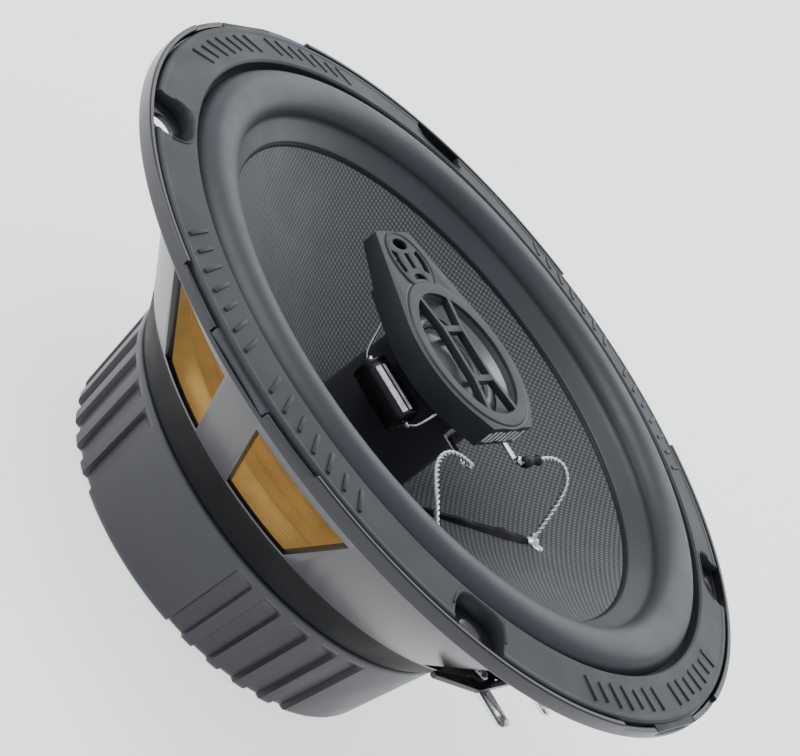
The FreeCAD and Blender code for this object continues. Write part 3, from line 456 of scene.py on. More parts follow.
def evened(line, spacing):
    """The same line with points at an even spacing."""
    lengths = [0.0]
    for first, second in zip(line, line[1:]):
        lengths.append(lengths[-1] + (second - first).length)
    count = max(2, round(lengths[-1] / spacing))
    result = []
    place = 0
    for step in range(count + 1):
        wanted = lengths[-1] * step / count
        while place < len(lengths) - 2 and lengths[place + 1] < wanted:
            place += 1
        share = (wanted - lengths[place]) / max(lengths[place + 1] - lengths[place], 1e-9)
        result.append(line[place].lerp(line[place + 1], min(max(share, 0.0), 1.0)))
    return result


def frames_along(line):
    side = None
    frames = []
    for index in range(len(line)):
        ahead = line[min(index + 1, len(line) - 1)] - line[max(index - 1, 0)]
        ahead.normalize()
        if side is None:
            side = ahead.orthogonal().normalized()
        side = (side - ahead * side.dot(ahead)).normalized()
        frames.append((side.copy(), ahead.cross(side)))
    return frames


def tube(line, radius, sides=10, offset=0.0, phase=0.0, pitch=None):
    """A round tube on the line, or one strand of a twist when offset and pitch are given."""
    frames = frames_along(line)
    verts = []
    walked = 0.0
    for index, (point, (side, up)) in enumerate(zip(line, frames)):
        if index:
            walked += (point - line[index - 1]).length
        spin = phase + (2 * math.pi * walked / pitch if pitch else 0.0)
        centre = point + (side * math.cos(spin) + up * math.sin(spin)) * offset
        size = radius(index / (len(line) - 1)) if callable(radius) else radius
        for step in range(sides):
            angle = 2 * math.pi * step / sides
            verts.append(tuple(centre + (side * math.cos(angle) + up * math.sin(angle)) * size))
    faces = [tuple(range(sides - 1, -1, -1))]
    for index in range(len(line) - 1):
        for step in range(sides):
            after = (step + 1) % sides
            low = index * sides
            faces.append((low + step, low + after, low + sides + after, low + sides + step))
    last = (len(line) - 1) * sides
    faces.append(tuple(range(last, last + sides)))
    return verts, faces


def blob(centre, size, normal=(0, 0, 1), seed=0.0, rough=0.18, detail=3):
    """A solder or glue blob: an uneven rounded lump, flatter along its normal."""
    work = bmesh.new()
    bmesh.ops.create_icosphere(work, subdivisions=detail, radius=1.0)
    turn = Vector((0, 0, 1)).rotation_difference(Vector(normal)).to_matrix()
    verts = []
    for vert in work.verts:
        lump = 1.0 + rough * noise.noise(vert.co * 1.7 + Vector((seed, seed * 2, 1.3)))
        spot = Vector((vert.co.x * size[0], vert.co.y * size[1], vert.co.z * size[2])) * lump
        verts.append(tuple(turn @ spot + Vector(centre)))
    faces = [tuple(vert.index for vert in face.verts) for face in work.faces]
    work.free()
    return verts, faces


# ---------------------------------------------------------------- camera and light
def place_camera():
    azimuth = math.radians(285.45)
    elevation = math.radians(22.61)
    roll = math.radians(52.43)
    back = Vector((math.cos(elevation) * math.cos(azimuth),
                   math.cos(elevation) * math.sin(azimuth), math.sin(elevation)))
    level = Vector((0, 0, 1)).cross(back).normalized()
    upright = back.cross(level)
    right = level * math.cos(roll) + upright * math.sin(roll)
    up = upright * math.cos(roll) - level * math.sin(roll)
    data = bpy.data.cameras.new("camera")
    data.lens = 141.9
    data.sensor_width = 36.0
    data.sensor_fit = "HORIZONTAL"
    data.clip_start = 0.01
    data.clip_end = 20.0
    item = bpy.data.objects.new("camera", data)
    bpy.context.scene.collection.objects.link(item)
    item.matrix_world = Matrix((right, up, back)).transposed().to_4x4()
    item.location = (0.14806, -0.55177, 0.22965)
    bpy.context.scene.camera = item
    return right, up, back


def area_light(name, spot, aim, size, power):
    data = bpy.data.lights.new(name, "AREA")
    data.shape = "RECTANGLE"
    data.size, data.size_y = size
    data.energy = power
    item = bpy.data.objects.new(name, data)
    bpy.context.scene.collection.objects.link(item)
    item.location = spot
    way = Vector(aim) - Vector(spot)
    item.rotation_euler = way.to_track_quat("-Z", "Y").to_euler()


def set_light(right, up, back):
    world = bpy.data.worlds.new("studio")
    bpy.context.scene.world = world
    world.use_nodes = True
    shade = world.node_tree.nodes["Background"]
    shade.inputs["Color"].default_value = (0.84, 0.92, 1.0, 1.0)
    shade.inputs["Strength"].default_value = 0.74
    area_light("key", tuple(up * 0.75 + back * 0.35 + right * 0.15), (0, 0, 0), (0.6, 0.6), 3.8)
    area_light("rim", tuple(right * -0.6 + up * 0.35 + back * 0.1), (0, 0, -0.02), (0.35, 0.7), 4.4)
    area_light("window", tuple(right * -0.35 + up * -0.35 + back * 0.4), (0.0, -0.04, -0.02),
               (0.3, 0.3), 6.5)
    area_light("sweep", (-0.15, 0.75, 0.42), (0, 0, 0), (0.9, 0.5), 2.2)


def make_floor():
    size = 4000.0
    level = CAD_BOX[0].z / MM - 0.05
    verts = [(-size, -size, level), (size, -size, level), (size, size, level), (-size, size, level)]
    floor = mesh_piece("studio_floor", verts, [(0, 1, 2, 3)], "white_paint", body=None)
    floor.data.materials.clear()
    paper = surface("floor_look", (0.9, 0.9, 0.9), 0.8, vary=0.01, patch_mm=400.0, grain=0.02)
    shader = paper.node_tree.nodes["Principled BSDF"]
    shader.inputs["Emission Color"].default_value = (1.0, 1.0, 1.0, 1.0)
    shader.inputs["Emission Strength"].default_value = 1.2
    floor.data.materials.append(paper)


# ---------------------------------------------------------------- basket
def window_outline(side):
    half = math.sqrt(0.5)
    corners = [(42.0, 5.65), (80.0, 5.65), ((78.0 + 22.0) * half, (78.0 - 22.0) * half),
               ((42.0 + 17.9) * half, (42.0 - 17.9) * half)]
    return [(x, side * y) for x, y in corners]


def make_basket():
    split_in, split_out = (51.24, -26.6), (53.05, -26.6)
    profile = rounded([
        (69.8, 1.1, 0.5), (69.8, -3.5, 0.8), split_in, split_out, (71.8, -3.5, 1.6),
        (71.8, 0.0, 0.5), (83.2, 0.0, 0.5), (83.2, 3.2, 0.35), (82.1, 3.2, 0.3),
        (82.1, 1.1, 0.3)], steps=4)
    rear = rounded([
        split_out, split_in, (51.0, -26.9, 0.1), (46.4, -26.9, 0.5), (44.4, -35.2, 1.2),
        (18.0, -35.2, 0.2), (18.0, -36.4, 0.2), (46.2, -36.4, 0.9), (52.0, -27.9, 0.6)], steps=4)
    # The rear step wears the darker copy of the enamel, painted shade where the step faces away from the
    # light.
    mesh_piece("basket_rear_step", *lathe(rear, 300), "basket_enamel", "chassis", ["basket"],
               look="basket_enamel_painted_shade")
    basket = mesh_piece("basket_pressing", *lathe(profile, 360), "basket_enamel", body=None)
    cutters = []
    for quarter in range(4):
        spin = 90.0 * quarter
        for side in (1, -1):
            cutters.append(tool(turned(window_outline(side), spin), -25.9, -8.2))
        cutters.append(tool(turned(circle(78.0, 0, 2.75, 40), spin + SCREW_TURN), -1.0, 1.6))
        low = [(80.9, -9.1), (85.0, -9.1), (85.0, 9.1), (80.9, 9.1)]
        cutters.append(tool(turned(low, spin), 1.12, 5.0))
        wide = [(79.0, -22.5), (86.0, -22.5), (86.0, 22.5), (79.0, 22.5)]
        cutters.append(tool(turned(wide, spin), 2.3, 5.0))
    combine(basket, cutters)
    soften(basket, 0.38, 2, 40.0)
    dress(basket, "basket_enamel", stands_for=["basket"])


# ---------------------------------------------------------------- trim ring
def slot_outline():
    corners = [(84.5, -6.4), (84.5, 6.4), (73.4, 6.4, 4.5), (73.4, -6.4, 4.5)]
    return rounded(corners, 10)


def ring_height(radius):
    run = RING_OUTER[0] - RING_INNER[0]
    return RING_INNER[1] - (radius - RING_INNER[0]) * (RING_INNER[1] - RING_OUTER[1]) / run


def make_trim_ring():
    profile = rounded([
        (72.0, 1.7), (73.1, 1.7), (73.1, 1.15), (81.5, 1.15), (81.5, 3.25, 0.7),
        (80.4, 3.35, 0.5), (80.0, 3.2, 0.3), (72.5, 4.5, 0.3), (72.0, 4.1, 0.2)], steps=4)
    ring = mesh_piece("trim_ring_moulding", *lathe(profile, 360), "trim_plastic", body=None)
    tabs = []
    for quarter in range(4):
        tab = rounded([(80.0, -8.8), (82.7, -8.8, 0.6), (82.7, 8.8, 0.6), (80.0, 8.8)], 4)
        tabs.append(tool(turned(tab, 90.0 * quarter), 1.2, 2.35))
    combine(ring, tabs, "UNION")
    slots = []
    for quarter in range(4):
        slots.append(tool(turned(slot_outline(), SCREW_TURN + 90.0 * quarter), 0.0, 8.0))
    combine(ring, slots)
    soften(ring, 0.32, 2, 38.0)
    dress(ring, "trim_plastic", stands_for=["trim_ring"])
    make_ring_ribs()
    make_slot_lips()


def make_slot_lips():
    """A raised bead along each slot, where the moulding meets the slot's wall."""
    parts = []
    path = [Vector((x, y, 0)) for x, y in slot_outline() if math.hypot(x, y) < 81.0]
    inner = [Vector((point.x - 0.35, point.y * 1.05, 0)) for point in path]
    for quarter in range(4):
        spin = Matrix.Rotation(math.radians(SCREW_TURN + 90.0 * quarter), 3, "Z")
        bead = []
        for point in evened(inner, 0.6):
            bead.append(spin @ Vector((point.x, point.y, ring_height(point.xy.length) - 0.12)))
        parts.append(tube(bead, 0.3, 8))
    mesh_piece("trim_slot_beads", *gather(parts), "trim_plastic")


def make_ring_ribs():
    """Plain slanted ribs in four groups stand where the ring is decorated."""
    parts = []
    slope = math.atan2(RING_INNER[1] - RING_OUTER[1], RING_OUTER[0] - RING_INNER[0])
    rib_pitch = 3.1
    radius = 76.9
    for group in range(4):
        for step in range(-7, 8):
            if step == 0:
                continue
            angle = math.radians(90.0 * group + step * rib_pitch)
            turn = (Matrix.Rotation(angle, 3, "Z") @ Matrix.Rotation(slope, 3, "Y")
                    @ Matrix.Rotation(math.radians(24.0), 3, "Z"))
            centre = (radius * math.cos(angle), radius * math.sin(angle), ring_height(radius) - 0.02)
            length = 5.2 if step % 3 else 4.2
            parts.append(block((length, 0.9, 0.5), centre, turn))
    ribs = mesh_piece("trim_ribs", *gather(parts), "trim_plastic", body=None)
    soften(ribs, 0.18, 2, 40.0)
    dress(ribs, "trim_plastic")


# ---------------------------------------------------------------- surround, cone and spider
def radial_blend(item):
    """Bakes the ring's placement into its mesh."""
    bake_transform(item)


def surround_profile():
    top = [(72.8, 1.62), (71.6, 1.66), (71.1, 1.9)]
    for step in range(0, 33):
        angle = math.pi * step / 32
        top.append((65.75 + 5.2 * math.cos(angle), 1.55 + 4.35 * math.sin(angle) ** 0.92))
    top += [(60.1, 1.1), (59.4, 0.55), (57.6, -0.72), (56.75, -1.3), (56.5, -1.5)]
    under = [(56.5, -1.8), (59.6, 0.1), (60.9, 0.9)]
    for step in range(32, -1, -1):
        angle = math.pi * step / 32
        under.append((65.75 + 4.6 * math.cos(angle), 0.95 + 4.3 * math.sin(angle)))
    return top + under + [(70.6, 1.14), (72.8, 1.14)]


def make_surround():
    surround = mesh_piece("surround_roll", *lathe(surround_profile(), 300), "surround_rubber",
                          body=None, smooth=60.0)
    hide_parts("surround")
    radial_blend(surround)


def cone_height(radius):
    rise = CONE_EDGE[1] - CONE_NECK[1]
    return CONE_NECK[1] + (radius - CONE_NECK[0]) * rise / (CONE_EDGE[0] - CONE_NECK[0])


def make_cone():
    hole, edge_radius = 15.45, 56.3
    top = []
    for step in range(0, 25):
        radius = hole + (edge_radius - hole) * step / 24
        top.append((radius, cone_height(radius)))
    top += [(57.6, -1.45), (59.7, 0.02)]
    under = [(radius + 0.1, height - 0.7) for radius, height in reversed(top)]
    under[0] = (59.7, -0.7)
    under[-1] = (hole, cone_height(hole) - 0.7)
    mesh_piece("cone_body", *lathe(top + under, 240), "cone_weave", "cone_assembly", ["cone"])
    # A black ring where the surround meets the cone: partly glue, partly painted shade along that joint.
    edge = [(56.0, cone_height(56.0) - 0.1), (56.62, -2.0), (56.62, -1.75), (56.2, -2.05)]
    mesh_piece("cone_edge_glue_and_shade", *lathe(edge, 240), "black_adhesive", "cone_assembly")
    adhesive = rounded([(15.4, -25.3, 0.3), (17.6, -25.1, 0.4), (17.0, -25.45), (15.4, -26.4)], 4)
    mesh_piece("neck_bead", *lathe(adhesive, 160), "black_adhesive", "cone_assembly", ["neck_adhesive"])


def make_spider():
    landing, crest, inner, pitch = 49.6, 46.5, 18.0, 7.0
    top = [(50.5, -26.4)]
    for step in range(13):
        share = step / 12
        height = -26.4 + 2.5 * (0.5 - 0.5 * math.cos(math.pi * share))
        top.append((landing + (crest - landing) * share, height))
    count = 130
    for step in range(1, count + 1):
        share = step / count
        radius = crest + (inner - crest) * share
        ease = min(1.0, 9 * (1 - share))
        middle = -24.9 - 3.7 * share
        top.append((radius, middle + ease * math.cos(2 * math.pi * (crest - radius) / pitch)))
    top += [(16.6, -28.7), (15.45, -28.7)]
    under = [(radius, height - 0.45) for radius, height in reversed(top)]
    spider = mesh_piece("spider_cloth_disc", *lathe(top + under, 240), "spider_cloth", body=None,
                        smooth=70.0)
    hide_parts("spider")
    radial_blend(spider)


# ---------------------------------------------------------------- magnet boot
GROOVE_MIDDLES = (-45.7, 45.7, -130.0, 130.0)
GROOVE_PITCH = 9.5      # degrees from one groove to the next, five to a group
GROOVE_HALF = 2.95      # degrees from a groove's middle to the top of its wall
GROOVE_WALL = 0.45      # degrees that its wall takes


def groove_share(degrees):
    """How deep in a groove an angle lies, from 0 between grooves to 1 on their floors."""
    best = 0.0
    for middle in GROOVE_MIDDLES:
        for step in range(-2, 3):
            gap = abs((degrees - middle - step * GROOVE_PITCH + 180.0) % 360.0 - 180.0)
            best = max(best, min(1.0, max(0.0, (GROOVE_HALF - gap) / GROOVE_WALL)))
    return best


def make_boot():
    segments = 1440
    outer = [(42.2, -36.5), (45.6, -36.5), (46.1, -36.75), BOOT_FRONT]
    rows = 30
    for step in range(1, rows + 1):
        height = BOOT_FRONT[1] + (BOOT_REAR[1] - BOOT_FRONT[1]) * step / rows
        outer.append((BOOT_FRONT[0] + (BOOT_REAR[0] - BOOT_FRONT[0]) * step / rows, height))
    outer += [(42.7, -59.1), (42.3, -59.5), (41.6, -59.7), (38.0, -59.7), (30.0, -59.7),
              (24.0, -59.7), (23.4, -59.3), (12.0, -59.3), (3.0, -59.3)]
    count = len(outer)
    verts = []
    faces = []
    for turn in range(segments):
        degrees = 360.0 * turn / segments
        angle = math.radians(degrees)
        depth = groove_share(degrees)
        for radius, height in outer:
            entry = min(1.0, max(0.0, (-38.9 - height) / 0.7))
            low = depth * entry * 1.15 if height > -59.65 else 0.0
            if height < -59.6 and radius > 41.0:
                low = depth * 0.9
            verts.append(((radius - low) * math.cos(angle), (radius - low) * math.sin(angle), height))
    for turn in range(segments):
        near = turn * count
        far = (turn + 1) % segments * count
        for place in range(count - 1):
            faces.append((near + place, near + place + 1, far + place + 1, far + place))
    faces.append(tuple(turn * count + count - 1 for turn in range(segments)))
    boot = mesh_piece("boot_skin", verts, faces, "boot_rubber", body=None, smooth=50.0)
    thick = boot.modifiers.new("wall", "SOLIDIFY")
    thick.thickness = 0.4 * MM
    thick.offset = -1.0
    bake(boot)
    dress(boot, "boot_rubber", stands_for=["magnet_cover"], smooth=50.0)


# ---------------------------------------------------------------- post and tweeter housing
def make_post():
    profile = rounded([
        (2.3, -36.3), (12.8, -36.3, 0.4), (12.8, 0.6), (10.8, 0.6), (10.8, -33.4), (2.3, -33.4)], 3)
    mesh_piece("post_tube", *lathe(profile, 160), "post_plastic", "chassis", ["tweeter_post"])
    collar = rounded([(12.75, -1.4), (13.5, -1.2, 0.3), (13.5, 0.5), (12.75, 0.5)], 3)
    mesh_piece("post_collar", *lathe(collar, 160), "post_plastic")


def housing_corners(grow=0.0):
    head = 18.6 + grow
    tip_x, tip_y = -29.2 - grow, 7.0 + grow
    touch = math.atan2(tip_y, tip_x) - math.acos(head / math.hypot(tip_x, tip_y))
    outline = rounded([(head * math.cos(touch), head * math.sin(touch)), (tip_x, tip_y, 1.4),
                       (tip_x, -tip_y, 1.4), (head * math.cos(touch), -head * math.sin(touch))], 5)
    arc = []
    shoulder = math.radians(38.0)
    for step in range(1, 44):
        angle = -touch + (touch - shoulder) * step / 44
        arc.append((head * math.cos(angle), head * math.sin(angle)))
    flat = rounded([(head * math.cos(shoulder), -head * math.sin(shoulder)),
                    (17.4 + grow, -8.6 - grow, 0.8), (17.4 + grow, 8.6 + grow, 0.8),
                    (head * math.cos(shoulder), head * math.sin(shoulder))], 4)
    other = [(x, -y) for x, y in reversed(arc)]
    return outline + arc + flat + other


def make_housing():
    housing = mesh_piece("housing_shell", *prism(housing_corners(), 0.6, 6.1), "housing_plastic",
                         body=None)
    side = [(-32.0, -1.0), (-12.5, -1.0), (-12.5, 0.6), (-32.0, 3.15)]
    verts = [(x, y, z) for y in (-12.0, 12.0) for x, z in side]
    faces = [(0, 1, 2, 3), (7, 6, 5, 4)]
    faces += [(at, (at + 1) % 4, 4 + (at + 1) % 4, 4 + at) for at in range(4)]
    wedge = mesh_piece("tool", verts, faces, "motor_steel", body=None)
    horn = rounded([(0.001, 1.8), (12.5, 1.8, 0.3), (12.5, 2.4, 0.5), (14.2, 4.4, 0.8), (14.2, 7.5),
                    (0.001, 7.5)], 4)
    cutter = mesh_piece("tool", *lathe(horn, 120), "motor_steel", body=None)
    welded(cutter)
    cutters = [wedge, cutter, tool(circle(0, 0, 10.65, 90), -1.0, 3.0),
               tool(circle(SUPER_X, 0, 6.1, 60), 3.0, 8.0), tool(circle(SUPER_X, 0, 7.0, 72), 5.5, 8.0)]
    combine(housing, cutters)
    # A thin band on the horn's inner wall wears the bright metallic copy of the housing plastic: painted
    # sheen.
    sheen_profile = [(12.4, 2.5), (12.55, 2.42), (14.16, 4.42), (14.16, 5.7), (14.05, 5.7), (14.05, 4.5)]
    mesh_piece("horn_painted_sheen_band", *lathe(sheen_profile, 160), "housing_plastic", look="horn_painted_sheen")
    soften(housing, 0.42, 3, 40.0)
    dress(housing, "housing_plastic", stands_for=["tweeter_housing"])
    parts = []
    lean = Matrix.Rotation(math.radians(12.0), 3, "X")
    first_y, dash_pitch = -7.2, 2.05
    for step in range(8):
        height = 3.4 if step % 3 else 2.6
        parts.append(block((0.14, 1.0, height), (17.42, first_y + dash_pitch * step, 3.2), lean))
    mesh_piece("housing_print", *gather(parts), "housing_plastic", look="white_paint")


def bar_outline(points, width):
    """A flat bar of constant width along a kneed line."""
    left = []
    right = []
    for index, point in enumerate(points):
        before = Vector(points[max(index - 1, 0)])
        after = Vector(points[min(index + 1, len(points) - 1)])
        way = (after - before).normalized()
        side = Vector((-way.y, way.x)) * width / 2
        left.append(tuple(Vector(point) + side))
        right.append(tuple(Vector(point) - side))
    return left + right[::-1]


def make_grille():
    bezel = rounded([(14.2, 6.0), (17.25, 6.0), (16.85, 6.45, 0.2), (14.2, 6.45, 0.15)], 3)
    grille = mesh_piece("grille_disc", *lathe(bezel, 160), "housing_plastic", body=None)
    bars = []
    for side in (1, -1):
        line = [(-14.6, side * 6.4), (-5.8, side * 3.9), (5.8, side * 3.9), (14.6, side * 6.4)]
        bars.append(tool(bar_outline(line, 1.15), 4.9, 6.44))
    for place in (-5.8, 5.8):
        bars.append(tool([(place - 0.7, -3.9), (place + 0.7, -3.9), (place + 0.7, 3.9),
                          (place - 0.7, 3.9)], 4.95, 6.43))
    combine(grille, bars, "UNION")
    limit = tool(circle(0, 0, 17.3, 160), 4.0, 7.0)
    combine(grille, [limit], "INTERSECT")
    soften(grille, 0.16, 2, 40.0)
    dress(grille, "housing_plastic", stands_for=["tweeter_grille"])
    groove = rounded([(17.2, 6.02), (17.7, 6.02), (17.7, 6.13), (17.2, 6.13)], 2)
    mesh_piece("grille_shadow_line", *lathe(groove, 160), "housing_plastic", look="post_plastic")


def make_super_grille():
    cap = mesh_piece("super_cap", *prism(circle(SUPER_X, 0, 6.9, 96), 5.5, 6.22), "housing_plastic",
                     body=None)
    cutters = []
    for place, wide, tall in ((-26.1, 1.3, 2.7), (-17.9, 1.15, 2.3)):
        oval = [(place + wide * x, tall * y) for x, y in circle(0, 0, 1.0, 40)]
        cutters.append(tool(oval, 5.0, 7.0))
    middle = rounded([(-23.9, -0.8, 0.2), (-20.3, -0.8, 0.2), (-20.3, 0.8, 0.2), (-23.9, 0.8, 0.2)], 3)
    cutters.append(tool(middle, 5.0, 7.0))
    for side in (1, -1):
        outer = []
        inner = []
        for step in range(9):
            angle = math.radians(62.0 + 56.0 * step / 8)
            outer.append((SUPER_X + 6.0 * math.cos(angle), side * 6.0 * math.sin(angle)))
            inner.append((SUPER_X + 4.3 * math.cos(angle), side * (4.3 * math.sin(angle) - 0.3)))
        cutters.append(tool(outer + inner[::-1], 5.0, 7.0))
    combine(cap, cutters)
    soften(cap, 0.14, 2, 40.0)
    dress(cap, "housing_plastic", stands_for=["super_tweeter_grille"])
    rim = [Vector((x, y, 6.15)) for x, y in circle(SUPER_X, 0, 7.05, 96)]
    sides = 8
    verts = []
    faces = []
    for index, point in enumerate(rim):
        out = Vector((point.x - SUPER_X, point.y, 0)).normalized()
        for step in range(sides):
            angle = 2 * math.pi * step / sides
            verts.append(tuple(point + out * 0.3 * math.cos(angle) + Vector((0, 0, 0.26 * math.sin(angle)))))
    total = len(rim)
    for index in range(total):
        for step in range(sides):
            a = index * sides
            b = (index + 1) % total * sides
            after = (step + 1) % sides
            faces.append((a + step, a + after, b + after, b + step))
    mesh_piece("super_rim", verts, faces, "housing_plastic")


def dome_points(radius, base, height, steps=16):
    crown = (radius ** 2 + height ** 2) / (2 * height)
    points = []
    for step in range(steps + 1):
        reach = max(radius * (1 - step / steps), 0.001)
        points.append((reach, base + height - crown + math.sqrt(crown ** 2 - reach ** 2)))
    return points


def make_tweeter():
    top = dome_points(8.75, 2.2, 2.6)
    under = [(radius, height - 0.3) for radius, height in reversed(top)]
    dome = mesh_piece("tweeter_dome_film", *lathe(top + under, 120), "dome_film", "tweeter_diaphragm",
                      ["tweeter_dome"], smooth=50.0)
    welded(dome)
    roll = [(12.35, 1.86), (11.6, 1.9)]
    for step in range(13):
        angle = math.pi * step / 12
        roll.append((10.2 + 1.25 * math.cos(angle), 2.15 + 1.0 * math.sin(angle)))
    roll += [(8.85, 2.3)]
    under = [(radius, height - 0.25) for radius, height in reversed(roll)]
    under[-1] = (12.35, 1.82)
    under[-2] = (11.6, 1.82)
    film = mesh_piece("tweeter_surround_film", *lathe(roll + under, 120), "dome_film", body=None, smooth=50.0)
    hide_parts("tweeter_surround")
    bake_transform(film)
    small = dome_points(4.2, 3.55, 1.2)
    under = [(radius, height - 0.3) for radius, height in reversed(small)]
    verts, faces = lathe(small + under, 72)
    verts = [(x + SUPER_X, y, z) for x, y, z in verts]
    welded(mesh_piece("super_dome_film", verts, faces, "dome_film", "super_tweeter_diaphragm",
                      ["super_tweeter_dome"], smooth=50.0))


# ---------------------------------------------------------------- capacitor and leads
def make_capacitor():
    profile = rounded([(0.001, -5.7), (3.55, -5.7, 0.5), (3.55, -4.9), (3.3, -4.55, 0.2), (3.6, -4.1, 0.2),
                       (3.6, 7.3, 0.6), (2.9, 7.3), (2.7, 7.05), (0.001, 7.05)], 4)
    verts, faces = lathe(profile, 72)
    spin = Matrix.Rotation(math.radians(90.0), 3, "Y")
    centre = Vector((0, CAN_Y, CAN_Z))
    verts = [tuple(spin @ Vector(vert) + centre) for vert in verts]
    can = mesh_piece("capacitor_can", verts, faces, "capacitor_sleeve", "chassis", ["capacitor"])
    welded(can)
    parts = []
    first, last = -3.7, 6.7
    stripe_radius = 3.63
    for low, high in ((-142.0, -124.0), (-117.0, -107.0)):
        rows = []
        for step in range(7):
            angle = math.radians(low + (high - low) * step / 6)
            rows.append((CAN_Y + stripe_radius * math.cos(angle), CAN_Z - stripe_radius * math.sin(angle)))
        verts = []
        faces = []
        for y, z in rows:
            verts += [(first, y, z), (last, y, z)]
        for step in range(6):
            faces.append((2 * step, 2 * step + 1, 2 * step + 3, 2 * step + 2))
        parts.append((verts, faces))
    mesh_piece("capacitor_stripe", *gather(parts), "capacitor_sleeve", look="silver_print")
    routes = [
        [(-5.7, -16.6, -5.7), (-7.7, -16.5, -5.3), (-9.4, -15.9, -2.9), (-11.2, -14.6, 0.3)],
        [(7.3, -16.6, -5.7), (9.0, -16.4, -5.2), (9.6, -15.3, -3.2), (9.4, -13.8, 0.3)],
    ]
    parts = []
    for route in routes:
        parts.append(tube(evened(nurbs_line(route), 0.3), 0.27, 10))
    parts.append(blob((-6.2, -16.9, -4.6), (0.8, 0.9, 0.8), seed=1.0))
    parts.append(blob((8.2, -16.7, -5.4), (0.8, 0.7, 0.6), seed=2.0))
    mesh_piece("capacitor_wire_pair", *gather(parts), "tinned_wire", "chassis", ["capacitor_wires"])


TWEETER_LEAD_NEAR = [
    (21.0, -11.3, -0.75), (18.9, -14.6, -0.1), (17.6, -18.4, -0.6), (18.9, -21.6, -2.0),
    (22.4, -24.0, -3.2), (26.0, -25.4, -4.6), (28.9, -25.1, -7.0), (31.0, -23.7, -9.0),
    (32.5, -22.0, -10.6),
]
TWEETER_LEAD_FAR = [
    (21.4, 11.3, -0.75), (22.0, 15.2, 0.8), (22.4, 19.1, 1.8), (24.2, 22.4, 2.0),
    (27.0, 24.2, 0.1), (29.0, 24.5, -3.4), (30.7, 23.7, -7.2), (32.4, 22.1, -10.8),
]
COIL_LEAD_NEAR = [
    (32.8, -21.6, -14.1), (33.4, -21.4, -18.0), (36.0, -20.8, -21.2), (40.3, -19.7, -21.5),
    (44.8, -17.9, -20.2), (49.0, -15.6, -19.6), (52.0, -13.4, -20.2), (53.6, -11.8, -21.4),
]


def braid(name, route, stands_for):
    """Tinsel lead: two strands twisted about the route."""
    line = evened(nurbs_line(route), 0.22)
    strand_radius, strand_offset, twist_pitch = 0.34, 0.3, 2.2
    strands = []
    for strand in range(2):
        strands.append(tube(line, strand_radius, 8, strand_offset, math.pi * strand, twist_pitch))
    lead = mesh_piece(name, *gather(strands), "braid", body=None, smooth=60.0)
    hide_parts(stands_for)
    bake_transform(lead)


def make_leads():
    braid("tinsel_near", TWEETER_LEAD_NEAR, "tweeter_lead_near")
    braid("tinsel_far", TWEETER_LEAD_FAR, "tweeter_lead_far")
    far = [(x, -y, z) for x, y, z in COIL_LEAD_NEAR]
    braid("coil_tinsel_near", COIL_LEAD_NEAR, "coil_lead_near")
    braid("coil_tinsel_far", far, "coil_lead_far")
    tab_y = 11.3
    parts = []
    for side in (-1, 1):
        parts.append(block((7.6, 2.2, 0.45), (17.0, side * tab_y, -1.85)))
        parts.append(block((0.45, 2.2, 2.65), (13.3, side * tab_y, -0.75)))
    tabs = mesh_piece("tab_strips", *gather(parts), "tinned_wire", body=None)
    soften(tabs, 0.12, 2)
    dress(tabs, "tinned_wire", stands_for=["housing_tabs"])
    solder = [blob((20.5, -tab_y, -1.1), (1.2, 1.0, 0.8), seed=3.0),
              blob((20.7, tab_y, -1.1), (1.1, 1.0, 0.75), seed=4.0)]
    mesh_piece("tab_solder", *gather(solder), "tinned_wire")
    line = evened(nurbs_line(TWEETER_LEAD_FAR), 0.3)[0:15]
    mesh_piece("lead_shrink", *tube(line, lambda share: 1.05 + 0.22 * math.sin(7.0 * share), 16),
               "sleeve_rubber", "chassis", ["lead_sleeve"])


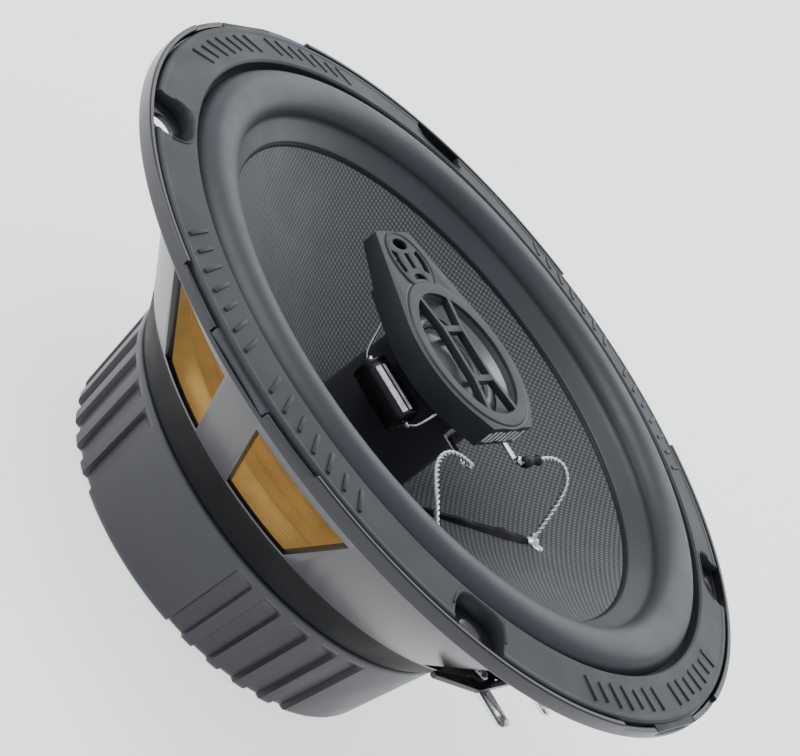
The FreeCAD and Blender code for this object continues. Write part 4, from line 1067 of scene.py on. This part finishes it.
def make_cone_joints():
    """Solder spots and the glue strips over the coil's wires, on the face of the cone."""
    lean = math.atan2(CONE_EDGE[1] - CONE_NECK[1], CONE_EDGE[0] - CONE_NECK[0])
    start_x, start_y = 16.2, 9.0
    run_x, run_y = 16.6, 11.6
    rows = 46
    across = 8
    solder = []
    strips = []
    for side in (-1, 1):
        heading = math.atan2(21.4 * side, 33.0)
        normal = (-math.sin(lean) * math.cos(heading), -math.sin(lean) * math.sin(heading), math.cos(lean))
        solder.append(blob((33.0, 21.5 * side, -12.1), (1.7, 1.5, 0.8), normal, seed=5.0 + side))
        solder.append(blob((34.9, 20.7 * side, -11.6), (1.6, 1.1, 0.5), normal, seed=8.0 + side))
        solder.append(blob((32.5, 22.0 * side, -11.5), (0.85, 0.85, 1.0), seed=11.0 + side))
        verts = []
        faces = []
        for row in range(rows + 1):
            share = row / rows
            x = start_x + run_x * share
            y = side * (start_y + run_y * share)
            way = Vector((run_x, side * run_y, 0)).normalized()
            out = Vector((-way.y, way.x, 0))
            wobble = noise.noise(Vector((share * 9.0, side * 4.0, 0.5)))
            half = (1.35 + 0.6 * share + 0.4 * wobble) * min(1.0, 6 * (1 - share) + 0.5)
            for step in range(across + 1):
                spread_to = -1 + 2 * step / across
                spot = Vector((x, y, 0)) + out * (half * spread_to + 0.2 * wobble)
                lift = 1.1 * (1 - spread_to ** 2) * (0.8 + 0.4 * wobble) + 0.02
                verts.append((spot.x, spot.y, cone_height(spot.length) + lift))
        for row in range(rows):
            for step in range(across):
                a = row * (across + 1) + step
                faces.append((a, a + 1, a + across + 2, a + across + 1))
        strips.append((verts, faces))
    mesh_piece("cone_solder", *gather(solder), "tinned_wire", "cone_assembly", ["lead_eyelets"],
               smooth=70.0)
    mesh_piece("cone_glue", *gather(strips), "black_adhesive", "cone_assembly", ["coil_wire_glue"],
               smooth=80.0)


# ---------------------------------------------------------------- terminals
def make_terminals():
    outline = rounded([
        (51.8, 5.65), (51.8, 27.0, 0.8), (52.8, 27.0, 0.8), (57.8, 13.7, 1.2), (57.8, -13.7, 1.2),
        (52.8, -27.0, 0.8), (51.8, -27.0, 0.8), (51.8, -5.65), (56.4, -5.65), (56.4, 5.65)], 4)
    board = mesh_piece("board_plate", *prism(outline, -23.5, -22.3), "board_laminate", body=None)
    soften(board, 0.15, 2)
    dress(board, "board_laminate", stands_for=["terminal_board"])
    for name, width, middle, cad in (("blade_wide", 4.8, -9.8, "terminal_large"),
                                     ("blade_narrow", 2.8, 9.8, "terminal_small")):
        low, high = middle - width / 2, middle + width / 2
        blade = rounded([(53.0, low), (64.9, low, 0.4), (65.6, low + 0.9, 0.3),
                         (65.6, high - 0.9, 0.3), (64.9, high, 0.4), (53.0, high)], 3)
        item = mesh_piece(name, *prism(blade, -24.3, -23.5), "tinned_wire", body=None)
        combine(item, [tool(circle(62.6, middle, 0.85, 32), -26.0, -22.0)])
        soften(item, 0.16, 2)
        dress(item, "tinned_wire", stands_for=[cad])
    parts = []
    for side in (-1, 1):
        parts.append(blob((54.6, side * 9.8, -22.1), (1.5, 1.5, 0.75), seed=15.0 + side, rough=0.1))
        parts.append(blob((53.7, side * 11.2, -21.9), (1.3, 1.1, 0.7), seed=18.0 + side))
    mesh_piece("terminal_solder", *gather(parts), "rivet_steel", "chassis", ["terminal_rivets"])


right, up, back = place_camera()
set_light(right, up, back)
make_floor()
make_basket()
make_trim_ring()
make_surround()
make_cone()
make_spider()
make_boot()
make_post()
make_housing()
make_grille()
make_super_grille()
make_tweeter()
make_capacitor()
make_leads()
make_cone_joints()
make_terminals()
